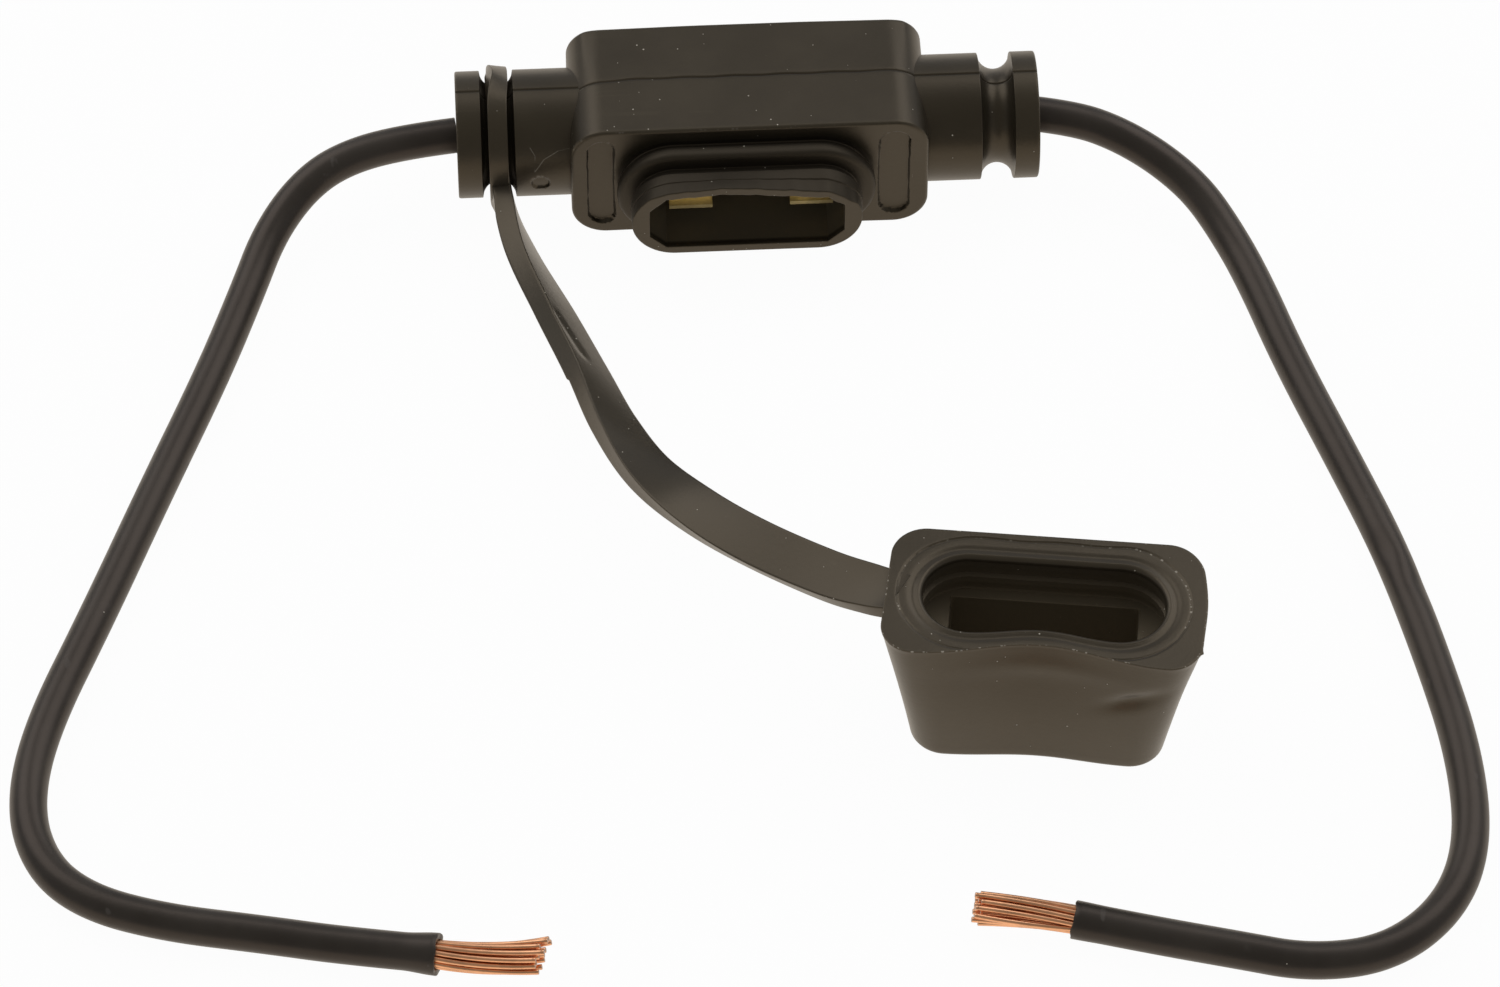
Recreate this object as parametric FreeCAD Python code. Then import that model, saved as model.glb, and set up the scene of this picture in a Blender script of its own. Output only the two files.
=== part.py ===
import FreeCAD, Part
import math
import os

V = FreeCAD.Vector

# In-line holder for one small blade fuse, in millimetres.
# The housing stands on z = 0 with its necks along X and its socket towards -Y.
# The cap hangs on a strap from a ring that turns in the left neck's groove.

# Housing body, a block with rounded corners that was moulded along Y
BODY_LENGTH = 24.0
BODY_DEPTH = 9.7
BODY_HEIGHT = 9.8
BODY_CORNER = 2.3
BODY_EDGE = 0.3

# Necks, round about the X axis at mid height
NECK_DIAMETER = 8.55
NECK_LENGTH = 3.68
GROOVE_RADIUS = 1.12
FLANGE_LENGTH = 1.65
FLANGE_EDGE = 0.2

# Recesses and ejector mark
RECESS_WIDTH = 1.9
RECESS_HEIGHT = 7.9
RECESS_DEPTH = 0.45
RECESS_MARGIN = 1.2
MARK_DIAMETER = 1.5
MARK_DEPTH = 0.15
MARK_MARGIN = 1.1

# Socket for the fuse and the collar round it
SOCKET_WIDTH = 13.0
SOCKET_HEIGHT = 4.64
SOCKET_CHAMFER = 1.1
SOCKET_DEPTH = 6.9
LIP_END_WALL = 1.28
LIP_SIDE_WALL = 0.72
LIP_LENGTH = 1.55
LIP_EDGE = 0.2
CATCH_DEPTH = 0.3
CATCH_LENGTH = 0.6
RIDGE_PROUD = 0.9
RIDGE_LENGTH = 1.1
RIDGE_EDGE = 0.45
ROOT_PROUD = 0.45
ROOT_LENGTH = 0.4

# Contacts, folded from brass strip round each blade of the fuse
BLADE_PITCH = 8.1
STRIP = 0.3
LEAF_WIDTH = 2.9
MOUTH_SETBACK = 2.1
MOUTH_HALF = 0.8
PINCH_SETBACK = 1.0
PINCH_HALF = 0.32
BOW_SETBACK = 4.2
BOW_HALF = 0.75
BEND_SETBACK = 4.9
TAB_MARGIN = 1.3
BARREL_GAP = 1.9
BARREL_LENGTH = 3.2

# Leads and their copper strands
LEAD_DIAMETER = 2.4
STRAND_DIAMETER = 0.36
STRAND_GAP = 0.012
BARED_IN_BARREL = 0.6
STRAND_RINGS = (1, 6, 12)
STRAND_TURN = 22.0
STRAND_UNEVEN = 0.3
LEFT_BARE = 6.9
RIGHT_BARE = 6.3
LEFT_FLARE = 1.28
RIGHT_FLARE = 1.18
LEFT_RISE = V(0.05, 0.35, 0.45)
RIGHT_RISE = V(0.0, 0.1, 0.35)
LEFT_SAG = 0.12
RIGHT_SAG = 0.06

# Ring of the cap, loose in the groove of the left neck
RING_THICKNESS = 1.3
RING_WALL = 0.97
RING_SLACK = 0.45
RING_CHAMFER = 0.2

# Cap, which stands on its closed end
CAP_X = 16.4
CAP_Y = -46.8
CAP_YAW = -7.9
CAP_HEIGHT = 10.8
CAP_CORNER = 2.2
RIM_FRONT = 20.4
RIM_BACK = 19.6
RIM_DEPTH = 10.1
RIM_WAIST = 1.25
BASE_WIDTH = 16.1
BASE_DEPTH = 9.6
BASE_WAIST = 0.35
BASE_EDGE = 0.5
MOUTH_WAIST = 0.55
MOUTH_GRIP = 0.1
MOUTH_LIP = 0.9
MOUTH_EDGE = 0.35
SEAT_CLEARANCE = 0.25
SEAT_DEPTH = 1.0
BEAD_PROUD = 0.3
BEAD_LENGTH = 0.6
HEEL_DEPTH = 1.0
POCKET_END_STEP = 0.5
POCKET_HEIGHT = 5.0
CAP_FLOOR = 1.4

# Strap between ring and cap
STRAP_RING_WIDTH = 2.9
STRAP_CAP_WIDTH = 3.2
STRAP_CAP_THICKNESS = 1.0
STRAP_ROOT_ANGLE = 23.0
STRAP_ROOT_SEAT = 0.35
STRAP_CAP_SEAT = 0.8
STRAP_CAP_OFFSET = -0.25
STRAP_THINS_AFTER = 4

# Middle points of the strap, and how far its upright width leans to the front at each station
STRAP_ROUTE = [
    V(-15.4, -9.0, 2.8),
    V(-13.4, -14.4, 2.7),
    V(-11.5, -19.8, 2.9),
    V(-9.9, -25.2, 3.7),
    V(-7.8, -30.4, 4.9),
    V(-4.7, -35.0, 6.3),
    V(-1.1, -39.0, 7.6),
    V(3.0, -42.8, 9.0),
    V(5.6, -44.7, 9.8),
]
STRAP_LEAN = [0, 28, 42, 49, 64, 83, 105, 116, 112, 102, 90]

# Values that follow from the ones above
AXIS_HEIGHT = BODY_HEIGHT / 2
NECK_RADIUS = NECK_DIAMETER / 2
GROOVE_X = BODY_LENGTH / 2 + NECK_LENGTH + GROOVE_RADIUS
NECK_END = GROOVE_X + GROOVE_RADIUS + FLANGE_LENGTH
FRONT = -BODY_DEPTH / 2
LIP_WIDTH = SOCKET_WIDTH + 2 * LIP_END_WALL
LIP_HEIGHT = SOCKET_HEIGHT + 2 * LIP_SIDE_WALL
COLLAR_LENGTH = ROOT_LENGTH + RIDGE_LENGTH + CATCH_LENGTH + LIP_LENGTH
SOCKET_MOUTH = FRONT - COLLAR_LENGTH
CONTACT_MOUTH = SOCKET_MOUTH + MOUTH_SETBACK
BARREL_START = BLADE_PITCH / 2 + LEAF_WIDTH / 2 + BARREL_GAP
STRAND_PITCH = STRAND_DIAMETER + STRAND_GAP
CONDUCTOR_RADIUS = 2 * STRAND_PITCH + STRAND_DIAMETER / 2
LEAD_RADIUS = LEAD_DIAMETER / 2
RING_INNER = NECK_RADIUS - GROOVE_RADIUS + RING_SLACK

# Routes of the leads from the neck's end face to the bared end, lying on the table for most of it
LEFT_ROUTE = [
    V(-NECK_END, 0.0, AXIS_HEIGHT),
    V(-23.6, -0.4, 4.8),
    V(-27.6, -1.5, 4.4),
    V(-30.2, -3.1, 3.4),
    V(-32.4, -6.1, 2.3),
    V(-33.9, -10.3, 1.5),
    V(-36.3, -17.3, LEAD_RADIUS),
    V(-40.0, -27.0, LEAD_RADIUS),
    V(-43.8, -37.4, LEAD_RADIUS),
    V(-47.4, -46.6, LEAD_RADIUS),
    V(-48.4, -52.9, LEAD_RADIUS),
    V(-47.2, -57.6, LEAD_RADIUS),
    V(-44.3, -60.5, LEAD_RADIUS),
    V(-39.5, -62.3, LEAD_RADIUS),
    V(-33.5, -63.5, LEAD_RADIUS),
    V(-28.1, -64.7, LEAD_RADIUS),
    V(-22.6, -65.6, LEAD_RADIUS),
]
RIGHT_ROUTE = [
    V(NECK_END, 0.0, AXIS_HEIGHT),
    V(22.3, -0.4, 4.7),
    V(25.0, -1.8, 4.6),
    V(27.7, -3.4, 3.8),
    V(30.1, -5.4, 2.7),
    V(31.7, -8.0, 1.8),
    V(33.3, -12.1, 1.3),
    V(35.2, -19.8, LEAD_RADIUS),
    V(37.8, -28.4, LEAD_RADIUS),
    V(40.1, -36.3, LEAD_RADIUS),
    V(41.8, -45.0, LEAD_RADIUS),
    V(43.0, -53.1, LEAD_RADIUS),
    V(42.8, -60.2, LEAD_RADIUS),
    V(40.7, -65.2, LEAD_RADIUS),
    V(36.6, -68.5, LEAD_RADIUS),
    V(31.6, -69.0, LEAD_RADIUS),
    V(27.0, -67.7, LEAD_RADIUS),
    V(22.2, -66.4, LEAD_RADIUS),
    V(17.2, -64.9, LEAD_RADIUS),
]


def rounded_corner(before, corner, after, reach):
    """An arc tangent to both runs, which it meets at the given distance from the corner."""
    back = (before - corner).normalize()
    ahead = (after - corner).normalize()
    start = corner + back * reach
    end = corner + ahead * reach
    half = back.getAngle(ahead) / 2
    bisector = (back + ahead).normalize()
    radius = reach * math.tan(half)
    middle = corner + bisector * (reach / math.cos(half) - radius)
    return start, middle, end


def rounded_loop(corners, radius):
    """A closed outline as a list of edges, one straight run and one arc for each corner in turn."""
    arcs = []
    for i, corner in enumerate(corners):
        before = corners[i - 1]
        after = corners[(i + 1) % len(corners)]
        half = (before - corner).getAngle(after - corner) / 2
        arcs.append(rounded_corner(before, corner, after, radius / math.tan(half)))
    edges = []
    for i, (start, middle, end) in enumerate(arcs):
        edges.append(Part.LineSegment(arcs[i - 1][2], start).toShape())
        edges.append(Part.Arc(start, middle, end).toShape())
    return edges


def rectangle_corners(width, height):
    return [
        V(-width / 2, height / 2, 0),
        V(-width / 2, -height / 2, 0),
        V(width / 2, -height / 2, 0),
        V(width / 2, height / 2, 0),
    ]


def waisted_side(left, right, waist):
    """A soft inward wave between two points of a straight side: half a cosine in and half out."""
    points = []
    for share in (0.0, 0.25, 0.5, 0.75, 1.0):
        inward = waist * (1 - math.cos(2 * math.pi * share)) / 2
        points.append(left + (right - left) * share + V(0, inward, 0))
    side = Part.BSplineCurve()
    side.interpolate(Points=points, InitialTangent=V(1, 0, 0), FinalTangent=V(1, 0, 0))
    return side.toShape()


def rectangle_wire(width, height, corner):
    return Part.Wire(rounded_loop(rectangle_corners(width, height), corner))


def stadium_wire(width, height, waist=0.0):
    """Two half circles joined by straight sides, of which the front one may be waisted."""
    r = height / 2
    half = width / 2 - r
    right = Part.Arc(V(half, -r, 0), V(half + r, 0, 0), V(half, r, 0)).toShape()
    left = Part.Arc(V(-half, r, 0), V(-half - r, 0, 0), V(-half, -r, 0)).toShape()
    back = Part.LineSegment(V(half, r, 0), V(-half, r, 0)).toShape()
    if waist:
        front = waisted_side(V(-half, -r, 0), V(half, -r, 0), waist)
    else:
        front = Part.LineSegment(V(-half, -r, 0), V(half, -r, 0)).toShape()
    return Part.Wire([front, right, back, left])


def prism(wire, length):
    return Part.Face(wire).extrude(V(0, 0, length))


def facing_front(shape, y):
    """Stands a shape drawn in the XY plane up at the given Y, so that its Z points to -Y."""
    shape.Placement = FreeCAD.Placement(V(0, y, AXIS_HEIGHT), FreeCAD.Rotation(V(1, 0, 0), 90))
    return shape


def end_edges(shape, axis):
    """The edges that lie flat across the given axis, 'x', 'y' or 'z'."""
    span = {"x": "XLength", "y": "YLength", "z": "ZLength"}[axis]
    return [edge for edge in shape.Edges if getattr(edge.BoundBox, span) < 1e-6]


def body_block():
    block = prism(rectangle_wire(BODY_LENGTH, BODY_HEIGHT, BODY_CORNER), BODY_DEPTH)
    block = facing_front(block, BODY_DEPTH / 2)
    return block.makeFillet(BODY_EDGE, end_edges(block, "y"))


def neck(side):
    """One neck with its groove and flange, turned about X; side is -1 or 1."""
    r = NECK_RADIUS
    start = BODY_LENGTH / 4
    groove = Part.Arc(
        V(GROOVE_X - GROOVE_RADIUS, r, 0),
        V(GROOVE_X, r - GROOVE_RADIUS, 0),
        V(GROOVE_X + GROOVE_RADIUS, r, 0),
    ).toShape()
    outline = [
        Part.LineSegment(V(start, 0, 0), V(start, r, 0)).toShape(),
        Part.LineSegment(V(start, r, 0), V(GROOVE_X - GROOVE_RADIUS, r, 0)).toShape(),
        groove,
        Part.LineSegment(V(GROOVE_X + GROOVE_RADIUS, r, 0), V(NECK_END - FLANGE_EDGE, r, 0)).toShape(),
        Part.LineSegment(V(NECK_END - FLANGE_EDGE, r, 0), V(NECK_END, r - FLANGE_EDGE, 0)).toShape(),
        Part.LineSegment(V(NECK_END, r - FLANGE_EDGE, 0), V(NECK_END, 0, 0)).toShape(),
        Part.LineSegment(V(NECK_END, 0, 0), V(start, 0, 0)).toShape(),
    ]
    turned = Part.Face(Part.Wire(outline)).revolve(V(0, 0, 0), V(1, 0, 0), 360)
    if side < 0:
        turned.rotate(V(0, 0, 0), V(0, 0, 1), 180)
    turned.translate(V(0, 0, AXIS_HEIGHT))
    return turned


def collar():
    """The collar round the socket: a root, the ridge that the cap meets, a catch groove and the lip."""
    root = prism(stadium_wire(LIP_WIDTH + 2 * ROOT_PROUD, LIP_HEIGHT + 2 * ROOT_PROUD), ROOT_LENGTH)
    ridge = prism(stadium_wire(LIP_WIDTH + 2 * RIDGE_PROUD, LIP_HEIGHT + 2 * RIDGE_PROUD), RIDGE_LENGTH)
    ridge = ridge.makeFillet(RIDGE_EDGE, end_edges(ridge, "z"))
    catch = prism(stadium_wire(LIP_WIDTH - 2 * CATCH_DEPTH, LIP_HEIGHT - 2 * CATCH_DEPTH), CATCH_LENGTH)
    lip = prism(stadium_wire(LIP_WIDTH, LIP_HEIGHT), LIP_LENGTH)
    lip = lip.makeFillet(LIP_EDGE, end_edges(lip, "z"))
    parts = []
    y = FRONT
    for layer, length in ((root, ROOT_LENGTH), (ridge, RIDGE_LENGTH), (catch, CATCH_LENGTH), (lip, LIP_LENGTH)):
        parts.append(facing_front(layer, y))
        y -= length
    return parts


def socket_space():
    """The chamfered well that takes the fuse, from the collar's end face inwards."""
    w = SOCKET_WIDTH / 2
    h = SOCKET_HEIGHT / 2
    c = SOCKET_CHAMFER
    corners = [
        V(-w + c, -h, 0), V(w - c, -h, 0), V(w, -h + c, 0), V(w, h - c, 0),
        V(w - c, h, 0), V(-w + c, h, 0), V(-w, h - c, 0), V(-w, -h + c, 0),
    ]
    well = prism(Part.makePolygon(corners + corners[:1]), SOCKET_DEPTH)
    return facing_front(well, SOCKET_MOUTH + SOCKET_DEPTH)


def front_recess(side):
    slot = prism(stadium_wire(RECESS_HEIGHT, RECESS_WIDTH), RECESS_DEPTH)
    slot.rotate(V(0, 0, 0), V(0, 0, 1), 90)
    x = side * (BODY_LENGTH / 2 - RECESS_MARGIN - RECESS_WIDTH / 2)
    slot = facing_front(slot, 0)
    slot.translate(V(x, FRONT + RECESS_DEPTH, 0))
    return slot


def ejector_mark():
    """A shallow round print in the front of the left neck."""
    x = -BODY_LENGTH / 2 - MARK_MARGIN - MARK_DIAMETER / 2
    return Part.makeCylinder(MARK_DIAMETER / 2, 1, V(x, -NECK_RADIUS + MARK_DEPTH, AXIS_HEIGHT), V(0, -1, 0))


def housing(inserts):
    shape = body_block().multiFuse([neck(-1), neck(1)] + collar())
    shape = shape.cut(socket_space())
    shape = shape.cut(front_recess(-1)).cut(front_recess(1)).cut(ejector_mark())
    for insert in inserts:
        shape = shape.cut(insert)
    return shape.removeSplitter()


def contact(side):
    """Two sprung leaves from one folded strip, with a tab to a barrel round the lead's bare end."""
    y = CONTACT_MOUTH
    inner = [
        (y, MOUTH_HALF), (y + PINCH_SETBACK, PINCH_HALF),
        (y + BOW_SETBACK, BOW_HALF), (y + BEND_SETBACK, BOW_HALF),
    ]
    edges = []
    for gap in (0.0, STRIP):
        top = [V(0, py, pz + gap) for py, pz in inner]
        bottom = [V(0, p.y, -p.z) for p in top]
        for line in (top, bottom):
            edges.append(Part.makePolygon(line))
        bend = V(0, top[-1].y + top[-1].z, 0)
        edges.append(Part.Arc(top[-1], bend, bottom[-1]).toShape())
    for sign in (1, -1):
        tip = V(0, y, sign * MOUTH_HALF)
        edges.append(Part.LineSegment(tip, tip + V(0, 0, sign * STRIP)).toShape())
    flat = []
    for edge in edges:
        flat.extend(edge.Edges)
    profile = Part.Wire(Part.__sortEdges__(flat))
    leaves = Part.Face(profile).extrude(V(LEAF_WIDTH, 0, 0))
    leaves.translate(V(BLADE_PITCH / 2 - LEAF_WIDTH / 2, 0, 0))
    tab_start = V(BLADE_PITCH / 2, y + BEND_SETBACK - TAB_MARGIN, -BOW_HALF - STRIP)
    tab = Part.makeBox(BARREL_START + STRIP - tab_start.x, -tab_start.y, STRIP, tab_start)
    barrel = Part.makeCylinder(CONDUCTOR_RADIUS + STRIP, BARREL_LENGTH, V(BARREL_START, 0, 0), V(1, 0, 0))
    bore = Part.makeCylinder(CONDUCTOR_RADIUS, BARREL_LENGTH, V(BARREL_START, 0, 0), V(1, 0, 0))
    shape = leaves.fuse(tab).fuse(barrel).cut(bore).removeSplitter()
    if side < 0:
        shape = shape.mirror(V(0, 0, 0), V(1, 0, 0))
    shape.translate(V(0, 0, AXIS_HEIGHT))
    return shape


def lead_end(side):
    """The end of the lead inside the neck: bare wire in the barrel, then the jacket."""
    jacket_start = BARREL_START + BARREL_LENGTH + BARED_IN_BARREL
    out = V(side, 0, 0)
    bare = Part.makeCylinder(CONDUCTOR_RADIUS, jacket_start - BARREL_START, V(0, 0, 0), out)
    bare.translate(V(side * BARREL_START, 0, AXIS_HEIGHT))
    jacket = Part.makeCylinder(LEAD_RADIUS, NECK_END - jacket_start, V(0, 0, 0), out)
    jacket.translate(V(side * jacket_start, 0, AXIS_HEIGHT))
    return bare.fuse(jacket)


def lead(points, name):
    """A round lead along straight runs joined by tangent arcs, each as large as its two runs allow.

    It starts a little inside the neck and is trimmed to the neck's end face, because it leaves at a slant."""
    edges = []
    radii = []
    start_inside = points[0] - (points[1] - points[0]).normalize() * LEAD_RADIUS
    here = start_inside
    for before, corner, after in zip(points, points[1:], points[2:]):
        reach = 0.45 * min((corner - before).Length, (after - corner).Length)
        start, middle, end = rounded_corner(before, corner, after, reach)
        edges.append(Part.LineSegment(here, start).toShape())
        edges.append(Part.Arc(start, middle, end).toShape())
        radii.append(round(edges[-1].Curve.Radius, 1))
        here = end
    edges.append(Part.LineSegment(here, points[-1]).toShape())
    path = Part.Wire(edges)
    ring = Part.Wire(Part.Circle(start_inside, points[1] - points[0], LEAD_RADIUS).toShape())
    tube = path.makePipeShell([ring], True, False)
    fill = tube.Volume / (math.pi * LEAD_RADIUS ** 2 * path.Length)
    print(name, "radii", radii, "length", round(path.Length - LEAD_RADIUS, 1), "fill", round(fill, 4))
    corner = V(-NECK_END, -NECK_RADIUS, AXIS_HEIGHT - NECK_RADIUS)
    return tube.cut(Part.makeBox(2 * NECK_END, NECK_DIAMETER, NECK_DIAMETER, corner))


def strand_places():
    """The strands of one lead, as ring number and angle: one in the middle and whole rings round it."""
    places = []
    for ring, count in enumerate(STRAND_RINGS):
        for i in range(count):
            places.append((ring, 360.0 * i / count))
    return places


def strand(route, place, number, bare, flare, rise, sag):
    """One bared wire: a shallow arc that leaves the jacket's end, turns with the lay and spreads."""
    base = route[-1]
    along = (route[-1] - route[-2]).normalize()
    across = V(0, 0, 1).cross(along).normalize()
    up = along.cross(across)
    ring, angle = place
    reach = 1 + STRAND_UNEVEN / bare * math.sin(2.4 * number)

    def at(share):
        share *= reach
        turn = math.radians(angle + STRAND_TURN * share)
        radius = ring * STRAND_PITCH * (1 + (flare - 1) * share)
        drop = up * (-4 * sag * share * (1 - share))
        return (
            base + along * (bare * share) + rise * (share ** 2) + drop
            + across * (radius * math.cos(turn)) + up * (radius * math.sin(turn))
        )

    bow = Part.Arc(at(0.0), at(0.5), at(1.0)).toShape()
    circle = Part.Circle(at(0.0), bow.tangentAt(bow.FirstParameter), STRAND_DIAMETER / 2)
    wire = Part.Wire(bow).makePipeShell([Part.Wire(circle.toShape())], True, False)
    behind = Part.makeCylinder(5 * LEAD_RADIUS, 5 * LEAD_RADIUS, base, along * -1)
    return wire.cut(behind)


def ring_band():
    """The flat ring that sits in the groove, with its inner edges broken."""
    half = RING_THICKNESS / 2
    outer = RING_INNER + RING_WALL
    corners = [
        V(-half, RING_INNER + RING_CHAMFER, 0), V(-half + RING_CHAMFER, RING_INNER, 0),
        V(half - RING_CHAMFER, RING_INNER, 0), V(half, RING_INNER + RING_CHAMFER, 0),
        V(half, outer, 0), V(-half, outer, 0),
    ]
    face = Part.Face(Part.makePolygon(corners + corners[:1]))
    band = face.revolve(V(0, 0, 0), V(1, 0, 0), 360)
    band.translate(V(-GROOVE_X, 0, AXIS_HEIGHT))
    return band


def cap_outline(front, back, depth, waist, z):
    """One level of the cap: four rounded corners, narrower at the back, its front side waisted."""
    corners = [
        V(-back / 2, depth / 2, z), V(-front / 2, -depth / 2, z),
        V(front / 2, -depth / 2, z), V(back / 2, depth / 2, z),
    ]
    edges = rounded_loop(corners, CAP_CORNER)
    straight = edges[4]
    left, right = straight.Vertexes[0].Point, straight.Vertexes[1].Point
    edges[4] = waisted_side(left, right, waist)
    return Part.Wire(edges)


def cap_place():
    return FreeCAD.Placement(V(CAP_X, CAP_Y, 0), FreeCAD.Rotation(V(0, 0, 1), CAP_YAW))


def cap_block():
    base = cap_outline(BASE_WIDTH, BASE_WIDTH, BASE_DEPTH, BASE_WAIST, 0)
    rim = cap_outline(RIM_FRONT, RIM_BACK, RIM_DEPTH, RIM_WAIST, CAP_HEIGHT)
    block = Part.makeLoft([base, rim], True, True)
    floor = [e for e in end_edges(block, "z") if e.BoundBox.ZMax < CAP_HEIGHT / 2]
    return block.makeFillet(BASE_EDGE, floor)


def cap_hollow():
    """The space in the cap, from the mouth down: lip, seat for the collar's lip, bead, heel, fuse pocket."""
    mouth_width = LIP_WIDTH - 2 * MOUTH_GRIP
    mouth_height = LIP_HEIGHT - 2 * MOUTH_GRIP
    seat_width = LIP_WIDTH + 2 * SEAT_CLEARANCE
    seat_height = LIP_HEIGHT + 2 * SEAT_CLEARANCE
    bead_width = seat_width - 2 * BEAD_PROUD
    bead_height = seat_height - 2 * BEAD_PROUD
    layers = [
        (mouth_width, mouth_height, MOUTH_LIP), (seat_width, seat_height, SEAT_DEPTH),
        (bead_width, bead_height, BEAD_LENGTH), (seat_width, seat_height, HEEL_DEPTH),
    ]
    space = []
    z = CAP_HEIGHT
    for width, height, depth in layers:
        layer = prism(stadium_wire(width, height, MOUTH_WAIST), depth)
        z -= depth
        layer.translate(V(0, 0, z))
        space.append(layer)
    pocket_width = SOCKET_WIDTH - 2 * POCKET_END_STEP
    pocket = Part.makeBox(
        pocket_width, POCKET_HEIGHT, z - CAP_FLOOR, V(-pocket_width / 2, -POCKET_HEIGHT / 2, CAP_FLOOR)
    )
    return space[0].multiFuse(space[1:] + [pocket])


def strap_stations():
    """Every station of the strap as middle point, lean, width and thickness."""
    root = RING_INNER + STRAP_ROOT_SEAT
    angle = math.radians(STRAP_ROOT_ANGLE)
    first = V(-GROOVE_X, -root * math.cos(angle), AXIS_HEIGHT - root * math.sin(angle))
    rim_half = (RIM_FRONT + RIM_BACK) / 4
    last = V(STRAP_CAP_SEAT - rim_half, STRAP_CAP_OFFSET, CAP_HEIGHT - STRAP_CAP_THICKNESS / 2)
    points = [first] + STRAP_ROUTE + [cap_place().multVec(last)]
    stations = []
    final = len(points) - 1
    for i, point in enumerate(points):
        width = STRAP_RING_WIDTH + (STRAP_CAP_WIDTH - STRAP_RING_WIDTH) * i / final
        share = max(0, i - STRAP_THINS_AFTER) / (final - STRAP_THINS_AFTER)
        thickness = RING_THICKNESS + (STRAP_CAP_THICKNESS - RING_THICKNESS) * share
        stations.append((point, STRAP_LEAN[i], width, thickness))
    return stations


def strap():
    """A flat strap lofted through its stations: upright at the ring, face up where it joins the cap.

    It leaves the ring in the ring's own plane and meets the cap in the plane of the rim."""
    stations = strap_stations()
    points = [station[0] for station in stations]
    sections = []
    for i, (point, lean, width, thickness) in enumerate(stations):
        before = points[max(i - 1, 0)]
        after = points[min(i + 1, len(points) - 1)]
        along = after - before
        if i == 0:
            along.x = 0
        if i == len(points) - 1:
            along.z = 0
        along.normalize()
        up = V(0, 0, 1) - along * along.z
        up.normalize()
        side = up.cross(along)
        angle = math.radians(lean)
        broad = up * math.cos(angle) - side * math.sin(angle)
        thin = up * math.sin(angle) + side * math.cos(angle)
        corners = [
            point + broad * (width / 2 * a) + thin * (thickness / 2 * b)
            for a, b in ((1, 1), (-1, 1), (-1, -1), (1, -1))
        ]
        sections.append(Part.makePolygon(corners + corners[:1]))
    return Part.makeLoft(sections, True, False)


def cap():
    """Ring, strap and cap, moulded as one soft piece."""
    block = cap_block()
    block.Placement = cap_place()
    hollow = cap_hollow()
    hollow.Placement = cap_place()
    shape = block.multiFuse([strap(), ring_band()]).cut(hollow)
    mouth = cap_place().inverse()
    rim = []
    for edge in shape.Edges:
        middle = mouth.multVec(edge.CenterOfMass)
        near = abs(middle.x) < LIP_WIDTH / 2 and abs(middle.y) < LIP_HEIGHT / 2
        if near and edge.BoundBox.ZMin > CAP_HEIGHT - 1e-6:
            rim.append(edge)
    return shape.makeFillet(MOUTH_EDGE, rim)


def save(shape, name):
    shape.exportStep("parts/" + name + ".step")


def main():
    os.makedirs("parts", exist_ok=True)
    inserts = []
    for side, name in ((-1, "left"), (1, "right")):
        for kind, shape in (("contact", contact(side)), ("lead_end", lead_end(side))):
            save(shape, kind + "_" + name)
            inserts.append(shape)
    save(housing(inserts), "housing")
    save(cap(), "cap")
    save(lead(LEFT_ROUTE, "lead_left"), "lead_left")
    save(lead(RIGHT_ROUTE, "lead_right"), "lead_right")
    ends = (
        ("left", LEFT_ROUTE, LEFT_BARE, LEFT_FLARE, LEFT_RISE, LEFT_SAG),
        ("right", RIGHT_ROUTE, RIGHT_BARE, RIGHT_FLARE, RIGHT_RISE, RIGHT_SAG),
    )
    for name, route, bare, flare, rise, sag in ends:
        for number, place in enumerate(strand_places(), start=1):
            wire = strand(route, place, number, bare, flare, rise, sag)
            save(wire, "strand_{}_{:02d}".format(name, number))


main()
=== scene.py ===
"""The looks of an in-line blade fuse holder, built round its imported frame, with a plain studio."""

import math
from types import SimpleNamespace

import bpy
import numpy as np
from bpy.props import FloatProperty, FloatVectorProperty, PointerProperty
from bpy.types import Operator, Panel, PropertyGroup
from mathutils import Matrix, Vector


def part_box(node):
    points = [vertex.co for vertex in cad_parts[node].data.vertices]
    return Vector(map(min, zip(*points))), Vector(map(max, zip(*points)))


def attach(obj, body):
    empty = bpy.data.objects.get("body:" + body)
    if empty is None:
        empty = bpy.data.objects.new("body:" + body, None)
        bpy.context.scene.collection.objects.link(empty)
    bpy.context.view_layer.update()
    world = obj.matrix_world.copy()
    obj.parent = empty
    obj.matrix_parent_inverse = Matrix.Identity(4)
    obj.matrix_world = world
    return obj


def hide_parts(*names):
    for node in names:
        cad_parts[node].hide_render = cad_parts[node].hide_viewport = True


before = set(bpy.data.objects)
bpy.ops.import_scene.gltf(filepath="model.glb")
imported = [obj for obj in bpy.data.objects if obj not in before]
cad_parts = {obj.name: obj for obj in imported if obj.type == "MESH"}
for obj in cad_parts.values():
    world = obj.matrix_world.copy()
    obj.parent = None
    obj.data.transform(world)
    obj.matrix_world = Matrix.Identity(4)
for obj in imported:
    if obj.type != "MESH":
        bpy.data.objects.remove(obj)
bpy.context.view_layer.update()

bl_info = {
    "name": "Fuse holder",
    "version": (1, 0, 0),
    "blender": (4, 5, 0),
    "location": "View3D > Sidebar > Fuse holder",
    "description": "Builds the moulded housing, tethered cap, leads and studio of an in-line fuse holder",
    "category": "Object",
}

MM = 0.001
HOLDER = "holder"
CAP_BODY = "tethered_cap"

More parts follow.
